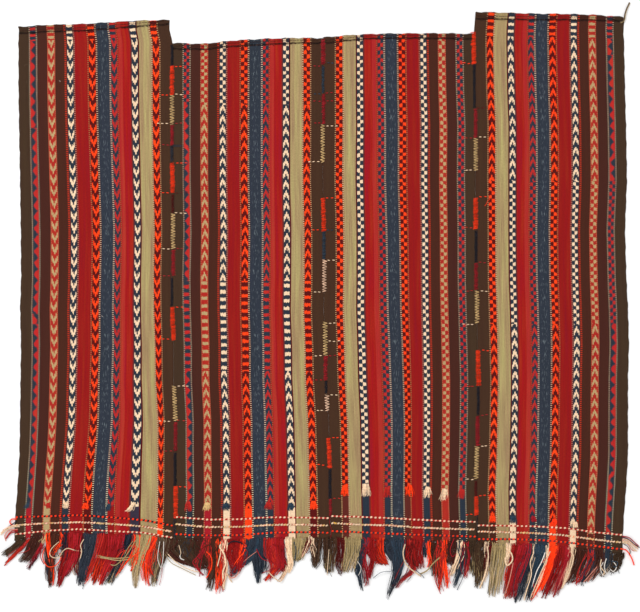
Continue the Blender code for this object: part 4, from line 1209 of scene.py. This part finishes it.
# Tufts of yarn ends where a figured stripe stops: pixel place, dye, width, length and lean.
tufts = (
    (29, 503, "slate", 5.0, 5.5, -2.0), (48, 503, "motif red", 3.6, 5.5, 0.0),
    (66.5, 502.5, "cream", 6.0, 6.0, -0.5), (85.5, 503, "orange", 5.5, 6.5, 0.0),
    (109, 504, "slate", 5.5, 7.0, -1.5), (134.5, 502.5, "cream", 6.0, 9.0, -6.0),
    (188.3, 501.5, "motif red", 6.0, 10.0, 0.0), (207.3, 502.5, "straw", 6.4, 8.0, -0.8),
    (226, 503.5, "slate", 8.0, 7.0, -0.5), (269, 502, "motif red", 7.0, 7.5, -0.5),
    (291, 503, "slate", 6.0, 7.5, 0.0), (313.3, 501, "orange", 6.5, 8.5, 0.0),
    (345, 485, "orange", 6.5, 11.0, -0.5), (366.5, 484, "cream", 8.5, 12.5, -1.0),
    (387, 487, "motif red", 6.5, 10.5, 0.0),
    (410, 485, "orange", 6.5, 11.5, 0.5), (427.5, 487, "cream", 7.5, 11.0, -1.0),
    (445, 489, "cream", 6.5, 11.5, -2.0), (461, 489, "motif red", 6.0, 10.0, 0.5),
    (492.5, 516, "orange", 5.5, 6.5, 0.0), (513, 516, "slate", 6.0, 7.5, 0.0),
    (533, 516, "crimson", 5.0, 6.0, 0.5), (554, 519, "orange red", 5.5, 6.0, 0.0),
    (575, 522, "cream", 5.0, 6.0, 0.0),
)

# Ends of the twining yarns beyond the lower corners, and the hemming yarn's end at the top: dye,
# thickness and the pixels that each passes.
endRadius = 2.0           # mm of an end of thickness 1
yarnEnds = {
    "left": (
        ("orange", 0.9, ((17, 519), (12, 519), (10, 522), (13, 526))),
        ("night", 0.7, ((17, 521), (11, 525), (6, 529))),
        ("pale pink", 0.9, ((20, 525), (13, 525.5), (6, 528.5), (1, 533))),
        ("cream", 0.8, ((20, 526.5), (12, 527), (5, 531), (0.5, 535))),
        ("grey brown", 0.6, ((17, 524), (9, 528), (3, 530))),
        ("motif red", 0.8, ((18, 530), (12, 531), (8, 535), (6, 539))),
        ("crimson", 0.8, ((18, 531.5), (11, 533), (7, 538))),
        ("pink", 0.7, ((18, 529), (10, 530), (5, 535), (6, 541))),
    ),
    "right": (
        ("pale pink", 0.9, ((622, 541), (628, 541.5), (633, 545), (638, 549))),
        ("cream", 0.8, ((622, 542.5), (629, 544), (634, 549), (637, 551))),
        ("pale pink", 0.8, ((622, 539), (628, 540), (633, 543.5), (637.5, 547))),
        ("cream", 0.9, ((622, 541), (628, 543), (632, 547), (635.5, 551))),
        ("purple", 0.8, ((622, 537), (628, 539), (634, 544), (639.5, 547.5))),
        ("crimson", 0.8, ((622, 536), (629, 537.5), (633, 541), (638.5, 546))),
        ("pink", 0.7, ((622, 540), (627, 543), (631, 549), (634, 551))),
        ("grey brown", 0.6, ((622, 543), (627, 546), (630, 551), (629, 555))),
        ("orange", 1.0, ((620, 548.5), (626, 550), (631, 557), (634, 565))),
    ),
    "top": (
        ("grey brown", 1.0, ((620.0, 22.4), (623.6, 20.6), (624.6, 14.6), (626.2, 9.4), (629.4, 2.6))),
        ("beige", 0.7, ((620.4, 22.9), (624.1, 20.9), (625.2, 15.2), (626.6, 10.0), (629.8, 3.2))),
    ),
}


def arcs(ends, radius, colours, low, high, steps=5):
    # Short stitches between pairs of pixels, rising out of the cloth and back into it.
    ends = np.asarray(ends, float)
    x, down = photoPlace(ends[..., 0], ends[..., 1])
    s = np.linspace(0, 1, steps)[None, :]
    xs, downs = x[:, :1] + (x[:, 1:] - x[:, :1]) * s, down[:, :1] + (down[:, 1:] - down[:, :1]) * s
    height = low + (high - low) * np.sin(np.pi * s) ** 0.7
    colours = np.repeat(np.asarray(colours)[:, None], steps, axis=1)
    radii = np.broadcast_to(np.asarray(radius, float), len(ends))[:, None] * (1 - 0.3 * (2 * s - 1) ** 2)
    return place(xs, downs, height), radii, colours


def gather(parts):
    return [np.concatenate([part[k] for part in parts]) for k in range(3)]


def sewnSeam(name):
    # One seam's joining stitches, each crossing it at a slight slant, and the runs beside them.
    ends, colours = [], []
    face = sewing["face"]
    for top, bottom, middleTop, middleBottom, width, dye in joinBlocks[name]:
        openWork = dye in sewing["openDyes"]
        pitch = sewing["openPitch"] if openWork else sewing["solidPitch"]
        rows = np.arange(top + 0.4, bottom, pitch)
        for number, py in enumerate(rows):
            middle = middleTop + (middleBottom - middleTop) * (py - top) / (bottom - top)
            slant = (0.5 if number % 2 else -0.5) if openWork else 0.3
            a = middle - width / 2 + chance.normal(0, sewing["uneven"])
            b = middle + width / 2 + chance.normal(0, sewing["uneven"])
            ends.append(((a, py + slant + chance.normal(0, 0.08)), (b, py - slant + chance.normal(0, 0.08))))
            colours.append(dyes[dye] * chance.uniform(0.6, 1.15))
    parts = [arcs(ends, sewing["radius"], colours, face - 0.9, face + 0.6)]
    ends, colours = [], []
    for side, py, dye in runs[name]:
        block = min(joinBlocks[name], key=lambda row: min(abs(row[0] - py), abs(row[1] - py)))
        start = block[2] + side * block[4] / 2
        for k in range(chance.choice([2, 3], p=[0.7, 0.3])):
            near = start + side * (1.5 + k * sewing["dashPitch"] + chance.normal(0, 0.3))
            level = py + chance.normal(0, 0.22)
            ends.append(((near, level), (near + side * sewing["dash"], level + chance.normal(0, 0.2))))
            colours.append(dyes[dye] * chance.uniform(0.95, 1.12))
    parts.append(arcs(ends, sewing["radius"] * 1.15, colours, face, face + 1.2))
    return gather(parts)


def twinedRows(strip):
    # Twined rows of one strip: short slanting stitches of the two yarns by turns.
    parts = []
    face = sewing["face"]
    for rowName, first, second in rowDyes[strip]:
        down = levelDown(strip, rowName, 0.5)
        left, right = edgeX(strip - 1, down) + twining["endGap"], edgeX(strip, down) - twining["endGap"]
        half = twining["pairPitch"] * rug["mmPerPixel"] / 2
        x = np.arange(left, right - half, half)
        across = (x - left) / (right - left)
        px, py = toColumn(x), toRow(levelDown(strip, rowName, across))
        jitter = chance.normal(0, 0.14, (2, len(x)))
        wide = half / rug["mmPerPixel"]
        ends = np.stack([np.stack([px + 0.12 * wide, py + 0.3 + jitter[0]], -1),
                         np.stack([px + 0.88 * wide, py - 0.3 + jitter[1]], -1)], axis=1)
        shade = chance.uniform(0.85, 1.1, (len(x), 1))
        even = np.arange(len(x)) % 2 == 0
        colours = np.where(even[:, None], dyes[first], dyes[second]) * shade
        size = np.where(even, 1.0, 0.85) * twining["radius"] * chance.uniform(0.85, 1.1, len(x))
        parts.append(arcs(ends, size, colours, face - 0.9, face + 0.3))
    down = levelDown(strip, "row2", 0.5)
    left, right = edgeX(strip - 1, down) + twining["endGap"], edgeX(strip, down) - twining["endGap"]
    step = twining["braidPitch"] * rug["mmPerPixel"]
    # large pale beads in a row, and smaller coloured ones that show between them
    for start, size, names, rise in ((0.0, 1.0, "beadDyes", 0.9), (0.55, 0.62, "betweenDyes", 0.6)):
        x = np.arange(left + start * step, right - step, step)
        px, py = toColumn(x), toRow(levelDown(strip, "row2", (x - left) / (right - left)))
        jitter = chance.normal(0, 0.16, (2, len(x)))
        wide = (0.62 if start == 0 else 0.5) * twining["braidPitch"]
        ends = np.stack([np.stack([px, py + 0.55 + jitter[0]], -1),
                         np.stack([px + wide, py - 0.55 + jitter[1]], -1)], axis=1)
        chosen = np.array([dyes[name] for name in chance.choice(twining[names], len(x))])
        radii = size * twining["braidRadius"] * chance.uniform(0.85, 1.1, len(x))
        colours = chosen * chance.uniform(0.7, 1.12, (len(x), 1))
        parts.append(arcs(ends, radii, colours, face - 2.2, face + rise))
    return gather(parts)


def tuftYarns():
    # Tufts: short cut yarns that fan out from the last float of their stripe.
    parts = []
    count, steps = tuft["yarns"], tuft["stretches"]
    for px, py, dye, width, length, lean in tufts:
        side = np.linspace(-0.5, 0.5, count) + chance.normal(0, 0.12, count)
        knots = []
        for share, spread in ((0.0, 0.45), (0.35, 0.75), (0.7, 0.95), (1.0, 1.0)):
            x = px + lean * share + side * width * spread + chance.normal(0, 0.25 + 0.3 * share, count)
            knots.append(np.stack([x, py + length * share + chance.normal(0, 0.3, count)], axis=-1))
        way = np.stack(knots, axis=1)
        way = np.stack(photoPlace(way[..., 0], way[..., 1]), axis=-1)
        flat = smoothPath(way, 1 - 0.4 * chance.random(count) ** 2, steps)
        s = np.linspace(0, 1, steps)[None, :]
        height = 1.5 + chance.uniform(1.0, 2.4, (count, 1)) * np.sin(np.pi * (0.15 + 0.75 * s))
        colours = np.repeat((dyes[dye] * chance.uniform(0.85, 1.3, (count, 1)))[:, None], steps, axis=1)
        radii = tuft["radius"] * (1 - 0.4 * s) * np.ones((count, 1))
        parts.append((place(flat[..., 0], flat[..., 1], height), radii, colours))
    return gather(parts)


hemSewing = {
    "down": 60.0,             # mm down where the strips' edges are taken
    "margin": 8.0,            # mm that the stitches stop short of them
    "pitch": 8.5,             # mm from stitch to stitch
    "length": 2.1,            # pixels
    "tinyAbove": 7.5,         # mm from the groove up to a second row of tiny stitches
    "tinyPitch": 1.5,         # pixels
    "tinyLength": 0.7,
    "dye": "dark brown",
}


def hemStitches():
    # Dark stitches along the lower edge of the turned-in hem, uneven as if sewn by hand.
    parts = []
    dye = dyes[hemSewing["dye"]]
    for strip in (1, 2, 3, 4):
        left, right = edgeX(strip - 1, hemSewing["down"]), edgeX(strip, hemSewing["down"])
        px = toColumn(np.arange(left + hemSewing["margin"], right - hemSewing["margin"], hemSewing["pitch"]))
        px = px + chance.normal(0, 0.7, len(px))
        across = (toX(px) - left) / (right - left)
        py = toRow(levelDown(strip, "top", across) + hemDepth(strip, across))
        slope = chance.normal(0, 0.45, (2, len(px)))
        ends = np.stack([np.stack([px, py + slope[0]], -1),
                         np.stack([px + hemSewing["length"], py + slope[1]], -1)], axis=1)
        colours = dye * chance.uniform(0.25, 0.8, (len(px), 1))
        parts.append(arcs(ends, chance.uniform(0.8, 1.7, len(px)), colours, 0.9, 2.6))

        px = np.arange(px[0], px[-1], hemSewing["tinyPitch"])
        px = px + chance.normal(0, 0.12, len(px))
        across = (px - px[0]) / (px[-1] - px[0])
        down = levelDown(strip, "top", across) + hemDepth(strip, across) - hemSewing["tinyAbove"]
        py = toRow(down) + chance.normal(0, 0.12, len(px))
        ends = np.stack([np.stack([px, py], -1),
                         np.stack([px + hemSewing["tinyLength"], py + 0.1], -1)], axis=1)
        parts.append(arcs(ends, 1.0, dye * chance.uniform(0.3, 0.8, (len(px), 1)), 2.7, 3.7))
    return gather(parts)


def yarnEndPiece(name, side, finish, slotName, node):
    parts = [layYarn(points, endRadius * thickness, dye, 14, 1.6, 3.4)
             for dye, thickness, points in yarnEnds[side]]
    return tubes(name, *gather(parts), finish, slotName, [node])


def buildSewing(finish):
    for name in ("left", "middle", "right"):
        tubes(f"joining_stitches_{name}", *sewnSeam(name), finish, "cream_twining_yarn")
    for strip in (1, 2, 3, 4):
        tubes(f"twined_rows_{strip}", *twinedRows(strip), finish, "cream_twining_yarn")
    tubes("tufts", *tuftYarns(), finish, "cut_warp_wool")
    tubes("hem_stitches", *hemStitches(), finish, "brown_hem_yarn")
    parts = [layYarn(points, radius, dye, 10, 2.2, 3.0) for dye, radius, points in strayThreads]
    tubes("stray_threads", *gather(parts), finish, "cream_twining_yarn")
    yarnEndPiece("left_yarn_ends", "left", finish, "cream_twining_yarn", "twining_ends_left")
    yarnEndPiece("right_yarn_ends", "right", finish, "cream_twining_yarn", "twining_ends_right")
    yarnEndPiece("top_yarn_end", "top", finish, "brown_hem_yarn", "yarn_end_top")


buildStudio()
wovenWool = clothMaterial()
for strip in (1, 2, 3, 4):
    buildCloth(strip, wovenWool)
print("cloth done")
spunWool = yarnMaterial("two-ply wool", 4.0)
for strip in (1, 2, 3, 4):
    buildFringe(strip, spunWool)
print("fringe done")
buildSewing(spunWool)
print("sewing done")
